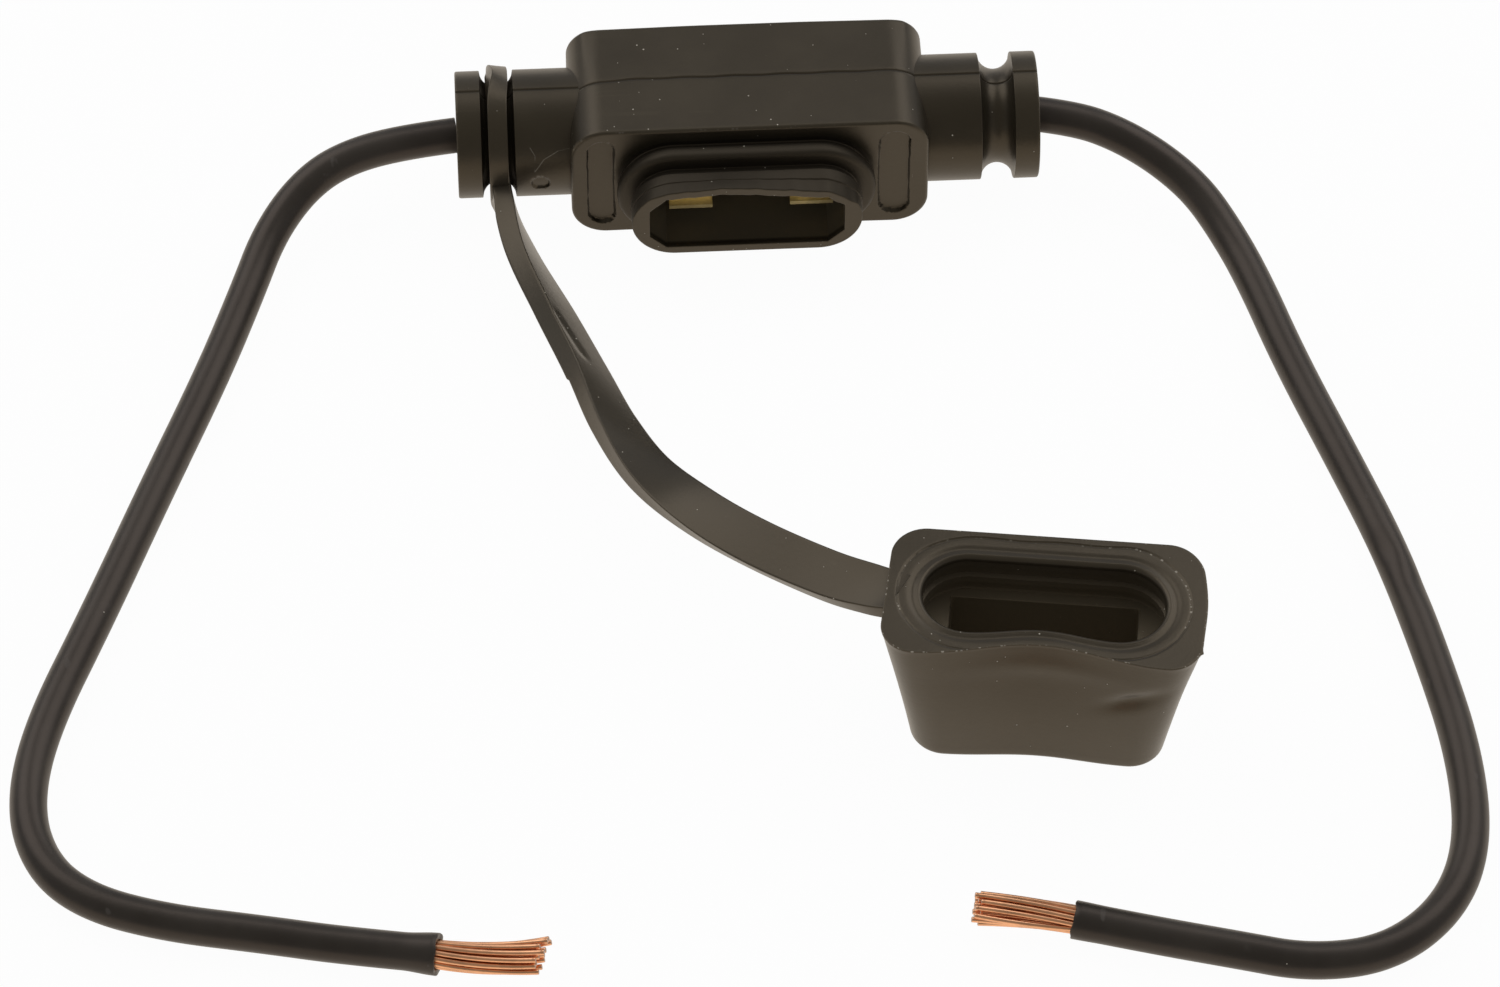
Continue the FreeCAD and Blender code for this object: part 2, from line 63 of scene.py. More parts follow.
# Routes of the leads in metres, from the end face of each neck to the bared end
LEFT_ROUTE = (
    (-0.01957, 0.0, 0.0049), (-0.0236, -0.0004, 0.0048), (-0.0276, -0.0015, 0.0044),
    (-0.0302, -0.0031, 0.0034), (-0.0324, -0.0061, 0.0023), (-0.0339, -0.0103, 0.0015),
    (-0.0363, -0.0173, 0.0012), (-0.0400, -0.0270, 0.0012), (-0.0438, -0.0374, 0.0012),
    (-0.0474, -0.0466, 0.0012), (-0.0484, -0.0529, 0.0012), (-0.0472, -0.0576, 0.0012),
    (-0.0443, -0.0605, 0.0012), (-0.0395, -0.0623, 0.0012), (-0.0335, -0.0635, 0.0012),
    (-0.0281, -0.0647, 0.0012), (-0.0226, -0.0656, 0.0012),
)
RIGHT_ROUTE = (
    (0.01957, 0.0, 0.0049), (0.0223, -0.0004, 0.0047), (0.0250, -0.0018, 0.0046),
    (0.0277, -0.0034, 0.0038), (0.0301, -0.0054, 0.0027), (0.0317, -0.0080, 0.0018),
    (0.0333, -0.0121, 0.0013), (0.0352, -0.0198, 0.0012), (0.0378, -0.0284, 0.0012),
    (0.0401, -0.0363, 0.0012), (0.0418, -0.0450, 0.0012), (0.0430, -0.0531, 0.0012),
    (0.0428, -0.0602, 0.0012), (0.0407, -0.0652, 0.0012), (0.0366, -0.0685, 0.0012),
    (0.0316, -0.0690, 0.0012), (0.0270, -0.0677, 0.0012), (0.0222, -0.0664, 0.0012),
    (0.0172, -0.0649, 0.0012),
)

# Middle points of the strap in millimetres, and how far its width leans to the front at each station
STRAP_ROUTE = (
    (-15.4, -9.0, 2.8), (-13.4, -14.4, 2.7), (-11.5, -19.8, 2.9), (-9.9, -25.2, 3.7), (-7.8, -30.4, 4.9),
    (-4.7, -35.0, 6.3), (-1.1, -39.0, 7.6), (3.0, -42.8, 9.0), (5.6, -44.7, 9.8),
)
STRAP_LEAN = (0, 28, 42, 49, 64, 83, 105, 116, 112, 102, 90)

# How each lead is worn and cut, in millimetres and radians, and how its strands lie. A dent has its distance
# along the lead, its angle in degrees, its length and its depth. A kink has the strand's number, how far its
# tip moves across and up, and how far its middle bows across.
LEADS = {
    "left": SimpleNamespace(
        route=LEFT_ROUTE, dents=((60.0, 60.0, 3.0, 0.05),), flare=0.15, cut_lean=-0.12, cut_facing=2.3,
        spread=1.28, rise=(0.05, 0.35, 0.45), sag=0.12, slant=0.13, kinks={}),
    "right": SimpleNamespace(
        route=RIGHT_ROUTE, dents=((45.5, 120.0, 1.6, 0.16), (48.5, 60.0, 1.4, 0.10)), flare=0.03,
        cut_lean=-0.1, cut_facing=0.9, spread=1.16, rise=(0.0, -0.85, 0.3), sag=0.06, slant=-0.06,
        kinks={8: (0.05, 0.0, 0.2)}),
}

# Flaws of this one moulding, in millimetres
LIP_LEAN = 0.09
LIP_BOW = 0.33
LIP_SAG = 0.4
LINE_BEND = 0.26
LINE_WAVER = 0.03
CROWN_DROP = 0.16
WALL_DENT = 0.3
WALL_SWELL = 0.1
END_BULGE = 0.32
END_HOLLOW = 0.15
RIM_LINE = 0.04
RIM_STEP = 0.025
RIM_VALLEY = 0.07
RIM_NIB = 0.2
STRAP_NOTCH = 0.13
STRAP_CREASE = 0.1

# Tints of the gloss, the floor's colour in it, and how much paler a well's walls are painted than the skin
# outside, as painted light
RUBBER_GLOSS = (1.0, 0.82, 0.6)
VINYL_GLOSS = (1.0, 0.8, 0.68)
FLOOR_IN_GLOSS = (1.0, 0.92, 0.81)
WELL_PAINTED_LIGHT = 9.0
WHITE = (1.0, 1.0, 1.0)
BLACK = (0.0, 0.0, 0.0)

# Hairs and scratches in metres: both ends, half width and how pale they are
HOUSING_HAIRS = (
    ((-0.01441, -0.00422, 0.00557), (-0.01378, -0.00399, 0.00649), 0.00005, 0.3),
    ((-0.01378, -0.00399, 0.00649), (-0.01282, -0.00374, 0.00702), 0.00005, 0.3),
    ((-0.01282, -0.00374, 0.00702), (-0.01201, -0.00365, 0.00717), 0.00004, 0.22),
    ((-0.01468, -0.00357, 0.00725), (-0.01437, -0.00387, 0.00675), 0.00004, 0.22),
    ((-0.01437, -0.00387, 0.00675), (-0.01441, -0.00422, 0.00557), 0.00004, 0.22),
    ((-0.01109, -0.00337, 0.0098), (-0.01079, -0.00257, 0.0098), 0.00006, 0.35),
    ((-0.01074, -0.00285, 0.0098), (-0.01017, -0.00215, 0.0098), 0.00005, 0.3),
    ((-0.01042, -0.00331, 0.0098), (-0.01051, -0.0029, 0.0098), 0.00005, 0.3),
)
CAP_HAIRS = (((0.00891, -0.05068, 0.00307), (0.01002, -0.05083, 0.00293), 0.00006, 0.4),)


def size(name, description, default):
    """A length in metres that a user may change."""
    return FloatProperty(
        name=name, description=description, default=default, min=0.0, precision=5, unit="LENGTH")


def share(name, description, default):
    """A plain number from 0 to 1 that a user may change."""
    return FloatProperty(name=name, description=description, default=default, min=0.0, max=1.0)


def tint(name, description, default):
    """A linear colour that a user may change."""
    return FloatVectorProperty(
        name=name, description=description, default=default, size=3, min=0.0, max=1.0, subtype="COLOR")


def bearing(name, description, degrees):
    """An angle, given in degrees, that a user may change."""
    return FloatProperty(
        name=name, description=description, default=math.radians(degrees), subtype="ANGLE", unit="ROTATION")


def point(name, description, default):
    """A point in metres that a user may change."""
    return FloatVectorProperty(
        name=name, description=description, default=default, size=3, subtype="TRANSLATION", unit="LENGTH")


def extent(node, axis):
    """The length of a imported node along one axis, in metres."""
    low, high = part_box(node)
    return high[axis] - low[axis]


class FuseHolderHousing(PropertyGroup):
    body_length: size("Body length", "Length of the block between the necks", 0.024)
    body_depth: size("Body depth", "Depth of the block from back to front", 0.0097)
    body_height: size("Body height", "Height of the block", extent("housing", 2))
    body_corner: size("Body corner", "Radius of the block's long corners", 0.0023)
    body_edge: size("Body edge", "Rounding of the front and back edges", 0.00024)
    neck_diameter: size("Neck diameter", "Diameter of both necks and their flanges", 0.00855)
    neck_length: size("Neck length", "Plain part of the neck between block and groove", 0.00368)
    groove_radius: size("Groove radius", "Radius of the half-round groove that takes the ring", 0.00112)
    whole_length: size("Whole length", "Length over both flanges", extent("housing", 0))
    socket_width: size("Socket width", "Width of the well that takes the fuse", 0.013)
    socket_height: size("Socket height", "Height of the well that takes the fuse", 0.00464)
    socket_chamfer: size("Socket chamfer", "Chamfer at the well's four corners", 0.0011)
    socket_depth: size("Socket depth", "Depth of the well from the collar's end face", 0.0069)
    lip_end_wall: size("Lip end wall", "Wall of the collar at its round ends", 0.00128)
    lip_side_wall: size("Lip side wall", "Wall of the collar at its straight sides", 0.00072)
    lip_length: size("Lip length", "Length of the collar's smooth lip", 0.00155)
    catch_depth: size("Catch depth", "Depth of the groove behind the lip", 0.0003)
    catch_length: size("Catch length", "Length of the groove behind the lip", 0.0006)
    ridge_proud: size("Ridge height", "How far the ridge stands out past the lip", 0.0009)
    ridge_length: size("Ridge length", "Length of the ridge along the collar", 0.0011)
    root_proud: size("Root height", "How far the collar's root stands out past the lip", 0.00045)
    root_length: size("Root length", "Length of the collar's root", 0.0004)
    recess_width: size("Recess width", "Width of the two upright recesses in the front", 0.0019)
    recess_height: size("Recess height", "Height of the two upright recesses in the front", 0.0079)
    recess_depth: size("Recess depth", "Depth of the two upright recesses in the front", 0.00027)
    recess_margin: size("Recess margin", "Wall between a recess and the end of the block", 0.0012)
    collar_shift: size("Collar shift", "How far the collar sits to the left of the block's middle", 0.00029)
    lip_stretch: size("Lip stretch", "How far the lip's edge was pulled out on leaving the mould", 0.00025)
    mark_diameter: size("Mark diameter", "Diameter of the round print on the left neck", 0.0013)
    mark_margin: size("Mark margin", "Distance from the block to the round print", 0.0014)
    mark_drop: size("Mark drop", "How far the round print sits below the neck's axis", 0.00045)
    mark_depth: size("Mark depth", "Depth of the round print", 0.00015)
    parting_depth: size("Parting line depth", "Depth of the fine line where the mould closes", 0.00008)
    parting_width: size("Parting line width", "Half width of the fine line where the mould closes", 0.00007)


class FuseHolderCap(PropertyGroup):
    place: point("Place", "Middle of the cap's closed end", (0.0164, -0.0468, 0.0))
    yaw: bearing("Yaw", "Turn of the cap about the upright axis", -7.9)
    height: size("Height", "Height of the cap from its closed end to the rim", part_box("cap")[1].z)
    corner: size("Corner", "Radius of the cap's upright corners", 0.0022)
    rim_front: size("Rim front", "Width of the rim at the front", 0.0204)
    rim_back: size("Rim back", "Width of the rim at the back", 0.0196)
    rim_depth: size("Rim depth", "Depth of the rim from front to back", 0.0101)
    rim_waist: size("Rim waist", "How far the rim's front side is drawn in", 0.00125)
    base_width: size("Base width", "Width of the closed end", 0.0161)
    base_depth: size("Base depth", "Depth of the closed end", 0.0096)
    base_waist: size("Base waist", "How far the closed end's front side is drawn in", 0.00035)
    base_edge: size("Base edge", "Rounding round the closed end", 0.0005)
    mouth_waist: size("Mouth waist", "How far the mouth's front side is drawn in", 0.00055)
    mouth_grip: size("Mouth grip", "How much tighter the mouth is than the collar's lip", 0.0001)
    mouth_lip: size("Mouth lip", "Length of the tight mouth", 0.0009)
    mouth_edge: size("Mouth edge", "Rounding of the mouth's edge", 0.00035)
    witness_margin: size("Witness margin", "From the mouth's rounding to the rim's mould line", 0.00125)
    seat_clearance: size("Seat clearance", "How much wider the seat is than the collar's lip", 0.00025)
    seat_depth: size("Seat depth", "Length of the seat", 0.001)
    bead_proud: size("Bead height", "How far the inner bead stands in", 0.0003)
    bead_length: size("Bead length", "Length of the inner bead", 0.0006)
    heel_depth: size("Heel depth", "Length of the space below the bead", 0.001)
    pocket_width: size("Pocket width", "Width of the pocket for the head of the fuse", 0.012)
    pocket_height: size("Pocket height", "Depth from front to back of the pocket", 0.005)
    floor: size("Floor", "Thickness of the closed end", 0.0014)
    ring_thickness: size("Ring thickness", "Width of the ring along the neck", 0.0013)
    ring_inner: size("Ring inner radius", "Inner radius of the ring", 0.003605)
    ring_wall: size("Ring wall", "Wall of the ring", 0.00097)
    strap_ring_width: size("Strap width at ring", "Width of the strap where it leaves the ring", 0.0029)
    strap_cap_width: size("Strap width at cap", "Width of the strap where it meets the cap", 0.0032)
    strap_cap_thickness: size("Strap thickness at cap", "Thickness of the strap at the cap", 0.001)


class FuseHolderLeads(PropertyGroup):
    diameter: size("Lead diameter", "Outer diameter of the vinyl jacket", 0.0024)
    jacket_wall: size("Jacket wall", "Wall of the vinyl jacket", 0.00027)
    strand_diameter: size("Strand diameter", "Diameter of one copper strand", 0.00036)
    left_bare: size("Left bare length", "Bared length of the left lead", 0.0065)
    right_bare: size("Right bare length", "Bared length of the right lead", 0.0063)


class FuseHolderFinishes(PropertyGroup):
    rubber: tint("Moulded rubber", "Colour of the housing", (0.022, 0.0182, 0.012))
    cap_rubber: tint("Cap rubber", "Colour of the cap, strap and ring", (0.0255, 0.0208, 0.014))
    vinyl: tint("Lead vinyl", "Colour of the jackets", (0.030, 0.027, 0.023))
    brass: tint("Contact brass", "Colour of the contacts", (0.96, 0.80, 0.42))
    copper: tint("Bare copper", "Colour of the strands", (0.95, 0.49, 0.27))
    dust: tint("Dust", "Colour of the dust specks", (0.62, 0.57, 0.48))
    dust_amount: share("Dust amount", "How many specks there are, as a share of the most", 0.8)


class FuseHolderStudio(PropertyGroup):
    camera_elevation: bearing("Camera elevation", "Angle of the camera above the table", 50.222)
    camera_azimuth: bearing("Camera azimuth", "Turn of the camera round the holder", -3.075)
    camera_roll: bearing("Camera roll", "Tilt of the picture", 0.164)
    camera_distance: size("Camera distance", "Distance from the camera to its aim", 0.49175)
    camera_aim: point("Camera aim", "Point at the middle of the picture", (-0.0012056, -0.028319, 0.0))
    focal_length: FloatProperty(
        name="Focal length", description="Lens length in millimetres on a 36 mm wide sensor", default=179.89,
        min=1.0, unit="CAMERA")
    lamp_power: FloatProperty(
        name="Softbox power", description="Power of each of the two softboxes behind the holder",
        default=0.83, min=0.0)
    tent: tint("Tent", "Light of the pale tent round the holder", (0.335, 0.345, 0.365))
    opening: tint("Tent opening", "Light of the tent's open side, round the camera", (0.26, 0.255, 0.24))
    white_share: share("White share", "How much of the floor's colour is plain white to the camera", 0.97)


GROUPS = {
    "fuse_holder_housing": FuseHolderHousing,
    "fuse_holder_cap": FuseHolderCap,
    "fuse_holder_leads": FuseHolderLeads,
    "fuse_holder_finishes": FuseHolderFinishes,
    "fuse_holder_studio": FuseHolderStudio,
}


def in_millimetres(group):
    """The lengths of a property group as plain numbers in millimetres, under the same names."""
    values = {}
    for name in group.bl_rna.properties.keys():
        value = getattr(group, name, None)
        if isinstance(value, float):
            values[name] = value / MM
    return SimpleNamespace(**values)


# Curves and shapes that the pieces share

def smoothstep(low, high, value):
    """0 below low, 1 above high, and 3s^2 - 2s^3 of the share s between them."""
    part = np.clip((value - low) / (high - low), 0.0, 1.0)
    return part * part * (3.0 - 2.0 * part)


def hump(value, centre, width):
    """A bell: e to the minus square of the distance from the centre over the width."""
    return np.exp(-(((value - centre) / width) ** 2))


def softened(corners, reach, steps=6):
    """A profile with rounded corners: between the points that lie 'reach' before and after a corner, a
    quadratic curve (1-t)^2 A + 2t(1-t) corner + t^2 B, with one guard point beyond each end of it."""
    guard = 0.6
    corners = np.array(corners, float)
    reach = np.broadcast_to(np.asarray(reach, float), len(corners))
    t = np.linspace(0.0, 1.0, steps)[:, None]
    parts = [corners[:1]]
    for before, corner, after, r in zip(corners, corners[1:], corners[2:], reach[1:]):
        back = (before - corner) / np.linalg.norm(before - corner)
        ahead = (after - corner) / np.linalg.norm(after - corner)
        arc = (1 - t) ** 2 * (corner + back * r) + 2 * t * (1 - t) * corner + t ** 2 * (corner + ahead * r)
        if np.linalg.norm(before - corner) > 3.0 * r:
            parts.append((corner + back * r * (1 + guard))[None])
        parts.append(arc)
        if np.linalg.norm(after - corner) > 3.0 * r:
            parts.append((corner + ahead * r * (1 + guard))[None])
    parts.append(corners[-1:])
    return np.vstack(parts)


def through(points, count):
    """A smooth line through every point: cubic pieces whose tangent at a point is half the step from the
    point before it to the point after it. The result has 'count' points spread evenly in the parameter."""
    points = np.array(points, float)
    padded = np.vstack([2 * points[0] - points[1], points, 2 * points[-1] - points[-2]])
    u = np.linspace(0.0, len(points) - 1.0, count)
    i = np.minimum(u.astype(int), len(points) - 2)
    s = (u - i)[:, None]
    before, here, there, after = padded[i], padded[i + 1], padded[i + 2], padded[i + 3]
    return 0.5 * (
        2 * here + (there - before) * s + (2 * before - 5 * here + 4 * there - after) * s ** 2
        + (3 * here - before - 3 * there + after) * s ** 3
    )


def spine_rays(half_length, straight, around):
    """Rays that leave a straight spine along X: square to it along both sides, and fanned through half a
    turn at each end. Gives each ray's start and its direction as (x, across)."""
    along = np.linspace(-half_length, half_length, straight, endpoint=False)
    turn = np.linspace(math.pi / 2, -math.pi / 2, around, endpoint=False)
    start = np.concatenate([along, np.full(around, half_length), -along, np.full(around, -half_length)])
    square = np.full(straight, math.pi / 2)
    angle = np.concatenate([square, turn, -square, turn - math.pi])
    return start, np.cos(angle), np.sin(angle)


def reach_of(distance, rays):
    """How far each ray runs before the signed distance to a shape turns positive, found by halving."""
    start, dx, dz = rays
    low = np.zeros_like(start)
    high = np.full_like(start, 30.0)
    for _ in range(36):
        middle = (low + high) / 2
        outside = distance(start + dx * middle, dz * middle) > 0
        high = np.where(outside, middle, high)
        low = np.where(outside, low, middle)
    return (low + high) / 2


def rounded_box(half_x, half_z, corner):
    """Signed distance to a rectangle with rounded corners."""
    def distance(x, z):
        beyond = np.maximum(np.abs(x) - half_x + corner, 0), np.maximum(np.abs(z) - half_z + corner, 0)
        return np.hypot(*beyond) - corner
    return distance


def chamfered_box(half_x, half_z, chamfer):
    """Signed distance to a rectangle with cut corners: the largest of the distances to its sides."""
    def distance(x, z):
        cut = (np.abs(x) + np.abs(z) - half_x - half_z + chamfer) / math.sqrt(2)
        return np.maximum(np.maximum(np.abs(x) - half_x, np.abs(z) - half_z), cut)
    return distance


def waisted_side(x, half, waist):
    """How far a side is drawn in at x: half a cosine wave in and half out between -half and half."""
    part = np.clip((x + half) / (2 * half), 0.0, 1.0)
    return waist * (1 - np.cos(2 * math.pi * part)) / 2


def cap_level(front, back, depth, waist, corner):
    """Signed distance to one level of the cap: rounded corners, narrower at the back, front side waisted."""
    def distance(x, y):
        half = (front + (back - front) * (y + depth / 2) / depth) / 2
        front_side = -depth / 2 + waisted_side(x, front / 2 - corner, waist)
        beyond_x = np.maximum(np.abs(x) - half + corner, 0)
        beyond_y = np.maximum(np.maximum(y - depth / 2, front_side - y) + corner, 0)
        return np.hypot(beyond_x, beyond_y) - corner
    return distance


# Meshes

def ring_faces(rows, columns, bands):
    """Four-sided faces between rings of points; with as many bands as rings, the last joins the first."""
    row, column = np.meshgrid(np.arange(bands), np.arange(columns), indexing="ij")
    below = (row + 1) % rows * columns
    beside = (column + 1) % columns
    corners = [row * columns + column, row * columns + beside, below + beside, below + column]
    return np.stack(corners, -1).reshape(-1, 4)


def outwards(points, quads, triangles):
    """The faces of a closed skin, turned round if the volume that they enclose comes out negative."""
    corners = np.vstack([quads[:, :3], quads[:, [0, 2, 3]], triangles])
    a, b, c = points[corners[:, 0]], points[corners[:, 1]], points[corners[:, 2]]
    if np.einsum("ij,ij->", a, np.cross(b, c)) < 0:
        return quads[:, ::-1], triangles[:, ::-1]
    return quads, triangles


def closed_shell(rings, exposure=0.0):
    """A closed skin over rings of points, with its first and last ring closed by a fan round their middle.
    Gives points, four-sided faces, triangles and one exposure a point, with its faces turned outwards."""
    rows, columns = rings.shape[:2]
    points = np.vstack([rings.reshape(-1, 3), rings[0].mean(0)[None], rings[-1].mean(0)[None]])
    here = np.arange(columns)
    beside = (here + 1) % columns
    top = (rows - 1) * columns
    first, last = rows * columns, rows * columns + 1
    low = np.stack([np.full(columns, first), beside, here], -1)
    high = np.stack([np.full(columns, last), top + here, top + beside], -1)
    quads, triangles = outwards(points, ring_faces(rows, columns, rows - 1), np.vstack([low, high]))
    exposures = np.zeros(len(points))
    exposures[:first] = np.broadcast_to(exposure, (rows, columns)).reshape(-1)
    return points, quads, triangles, exposures


def closed_loop(rings, exposure):
    """A skin over rings of points that closes on itself both ways, as on a tyre, with one exposure."""
    rows, columns = rings.shape[:2]
    points = rings.reshape(-1, 3)
    quads, triangles = outwards(points, ring_faces(rows, columns, rows), np.zeros((0, 3), int))
    return points, quads, triangles, np.full(len(points), exposure)


def row_grids(rows, one):
    """Rows of reach, level and exposure as three grids that have a column for each ray."""
    return [np.array([row[i] * one for row in rows]) for i in range(3)]


def build_piece(name, shells, material, sharp=38.0):
    """One mesh object from several closed shells given in millimetres, smooth up to the given angle."""
    points, quads, triangles, exposure = [], [], [], []
    offset = 0
    for shell_points, shell_quads, shell_triangles, shell_exposure in shells:
        points.append(shell_points * MM)
        quads.append(shell_quads + offset)
        triangles.append(shell_triangles + offset)
        exposure.append(shell_exposure)
        offset += len(shell_points)
    points, quads, triangles = np.vstack(points), np.vstack(quads), np.vstack(triangles)
    mesh = bpy.data.meshes.new(name)
    mesh.vertices.add(len(points))
    mesh.vertices.foreach_set("co", points.astype(np.float32).ravel())
    corners = np.concatenate([quads.ravel(), triangles.ravel()]).astype(np.int32)
    starts = np.concatenate([np.arange(len(quads)) * 4, len(quads) * 4 + np.arange(len(triangles)) * 3])
    mesh.loops.add(len(corners))
    mesh.loops.foreach_set("vertex_index", corners)
    mesh.polygons.add(len(starts))
    mesh.polygons.foreach_set("loop_start", starts.astype(np.int32))
    mesh.polygons.foreach_set("use_smooth", np.ones(len(starts), bool))
    mesh.update(calc_edges=True)
    mesh.validate()
    mesh.set_sharp_from_angle(angle=math.radians(sharp))
    mesh.attributes.new("exposure", "FLOAT", "POINT").data.foreach_set(
        "value", np.concatenate(exposure).astype(np.float32))
    piece = bpy.data.objects.new(name, mesh)
    bpy.context.scene.collection.objects.link(piece)
    mesh.materials.append(bpy.data.materials[material])
    return piece


# Housing

def collar_profile(s, front, mouth):
    """The collar's section from the lip's end face back to the block's front, as reach from the spine and y.
    Near its edge the lip is narrower by the small step that the mould left."""
    lip = s.socket_height / 2 + s.lip_side_wall
    narrow = lip - 0.07
    catch = mouth + s.lip_length
    ridge = catch + s.catch_length
    root = ridge + s.ridge_length
    corners = [
        (lip - 0.55, mouth), (narrow, mouth), (narrow, mouth + 0.8), (lip, mouth + 0.84),
        (lip, catch), (lip - s.catch_depth, catch),
        (lip - s.catch_depth, ridge), (lip + s.ridge_proud, ridge), (lip + s.ridge_proud, root),
        (lip + s.root_proud, root), (lip + s.root_proud, front), (lip + s.root_proud + 0.35, front),
    ]
    return softened(corners, (0, 0.1, 0.02, 0.02, 0.07, 0.07, 0.07, 0.45, 0.45, 0.08, 0.12, 0), steps=5)


def housing_rows(s, rays):
    """Rings of the block, from the well's floor out over the collar and the front face, round the edges and
    along the sides to the back. Each ring is the spine plus a reach along its rays, at one y."""
    front = -s.body_depth / 2
    mouth = front - s.root_length - s.ridge_length - s.catch_length - s.lip_length
    floor = mouth + s.socket_depth
    well = reach_of(chamfered_box(s.socket_width / 2, s.socket_height / 2, s.socket_chamfer), rays)
    outline = reach_of(rounded_box(s.body_length / 2, s.body_height / 2, s.body_corner), rays)
    one = np.ones_like(well)
    # The well is marked below zero, more the deeper in, which the rubber turns into painted light: paler
    # deeper in.
    rows = [(well * 0.6, floor, -1), (well - 0.08, floor, -1), (well, floor, -1), (well, floor - 0.12, -1)]
    for y in np.linspace(floor - 0.6, mouth + 0.5, 6):
        rows.append((well, y, -0.45 - 0.55 * (y - mouth) / s.socket_depth))
    mouth_edge = ((0, 0.14, 0), (0.004, 0.06, 0.5), (0.024, 0.02, 1), (0.07, 0, 1), (0.1, 0, 0.3))
    for out, back, exposure in mouth_edge:
        rows.append((well + out, mouth + back, exposure))
    collar = collar_profile(s, front, mouth)
    # Behind the lip's end face the collar is marked -0.16, which the rubber turns into painted shade and a
    # duller surface; the end face is marked 0.35, which paints it a little paler, as wear and painted light.
    for reach, y in collar:
        rows.append((reach * one, y, 0.35 if y < mouth + 0.01 else -0.16))
    face_start = collar[-1][0]
    edge = s.body_edge
    for f in np.linspace(0.0, 1.0, 56)[1:-1]:
        rows.append((face_start + (outline - edge - 0.06 - face_start) * f, front, 0))
    turn = np.linspace(0.0, math.pi / 2, 7)
    for a in turn:
        rows.append((outline - edge * (1 - math.sin(a)), front + edge * (1 - math.cos(a)), math.sin(2 * a)))
    w = s.parting_width
    half_side = np.linspace(front + edge + 0.1, -6 * w, 7)
    middle = w * np.array([-3.0, -1.5, -0.75, 0.0, 0.75, 1.5, 3.0])
    for y in np.concatenate([half_side, middle, -half_side[::-1]]):
        rows.append((outline - s.parting_depth * math.exp(-((y / w) ** 2)), y, 0))
    for a in turn[::-1]:
        rows.append((outline - edge * (1 - math.sin(a)), -front - edge * (1 - math.cos(a)), math.sin(2 * a)))
    rows.append((outline - edge - 0.15, -front, 0))
    rows.append((outline * 0.5, -front, 0))
    reach, y, exposure = row_grids(rows, one)
    moved = np.where(y < front, 1.0, np.clip((outline - reach) / (outline - face_start), 0.0, 1.0))
    return reach, y, exposure, moved, front, mouth


def press_recesses(s, x, y, z, front):
    """Sinks the two upright recesses: depth times a step of the distance to their stadium outline."""
    centre = s.body_length / 2 - s.recess_margin - s.recess_width / 2
    straight = (s.recess_height - s.recess_width) / 2
    away = np.hypot(np.abs(x) - centre, np.maximum(np.abs(z) - straight, 0)) - s.recess_width / 2
    inside = 1 - smoothstep(-0.05, 0.05, away)
    on_front = np.abs(y - front) < 1e-6
    return np.where(on_front, y + s.recess_depth * inside, y)


def relax_lip(s, x, y, z, mouth):
    """The lip as it came off its core: its edge is pulled out a little, its thin upper wall bows up left of
    the middle and sags to the right, all growing smoothly from the groove behind the lip to its edge."""
    near = smoothstep(mouth + s.lip_length, mouth, y) * (y < mouth + s.lip_length + 1.5)
    upper = smoothstep(1.2, 2.2, z)
    bow = LIP_BOW * hump(x, -1.7, 2.6) - LIP_SAG * smoothstep(0.8, 6.8, x)
    waver = 0.03 * np.sin(2.6 * x + 0.8) + 0.02 * np.sin(5.3 * x)
    return y - s.lip_stretch * near, z + near * upper * (bow + waver)


def housing_block(s):
    """The block with its collar and well as one closed skin. The collar leans to the left, the mould's line
    bends forwards near the block's left end, and the back drops a little towards the top's ends."""
    spine = (s.socket_width + 2 * s.lip_end_wall - s.socket_height - 2 * s.lip_side_wall) / 2
    rays = spine_rays(spine, 52, 146)
    start, dx, dz = rays
    reach, y, exposure, moved, front, mouth = housing_rows(s, rays)
    x = start + dx * reach
    z = dz * reach
    y = press_recesses(s, x, y, z, front)
    lean = LIP_LEAN * smoothstep(front - 1.0, mouth, y) * (y < front)
    x = x - s.collar_shift * moved - lean
    bend = LINE_BEND * smoothstep(-7.0, -12.0, x) + LINE_WAVER * np.sin(1.9 * x)
    y = y - bend * hump(y, 0.0, 1.2) * (reach > 4)
    y, z = relax_lip(s, x, y, z, mouth)
    top = s.body_height / 2
    crown = CROWN_DROP * smoothstep(0.0, -front, y) * smoothstep(top - 0.4, top, z)
    z = z - crown * smoothstep(0.25, 1.0, np.abs(x) / (s.body_length / 2)) + top
    return closed_shell(np.stack([x, y, z], -1), exposure)


def neck_angles(count):
    """Angles round the neck, spread evenly, with a few more at the mould's line on top and underneath."""
    even = np.linspace(0.0, 2 * math.pi, count, endpoint=False)
    line = np.radians([-2.4, -1.6, -0.8, 0.0, 0.8, 1.6, 2.4])
    near_line = np.minimum(np.abs(even - math.pi / 2), np.abs(even - 1.5 * math.pi)) < line[-1] * 1.2
    return np.sort(np.concatenate([even[~near_line], line + math.pi / 2, line + 1.5 * math.pi]))


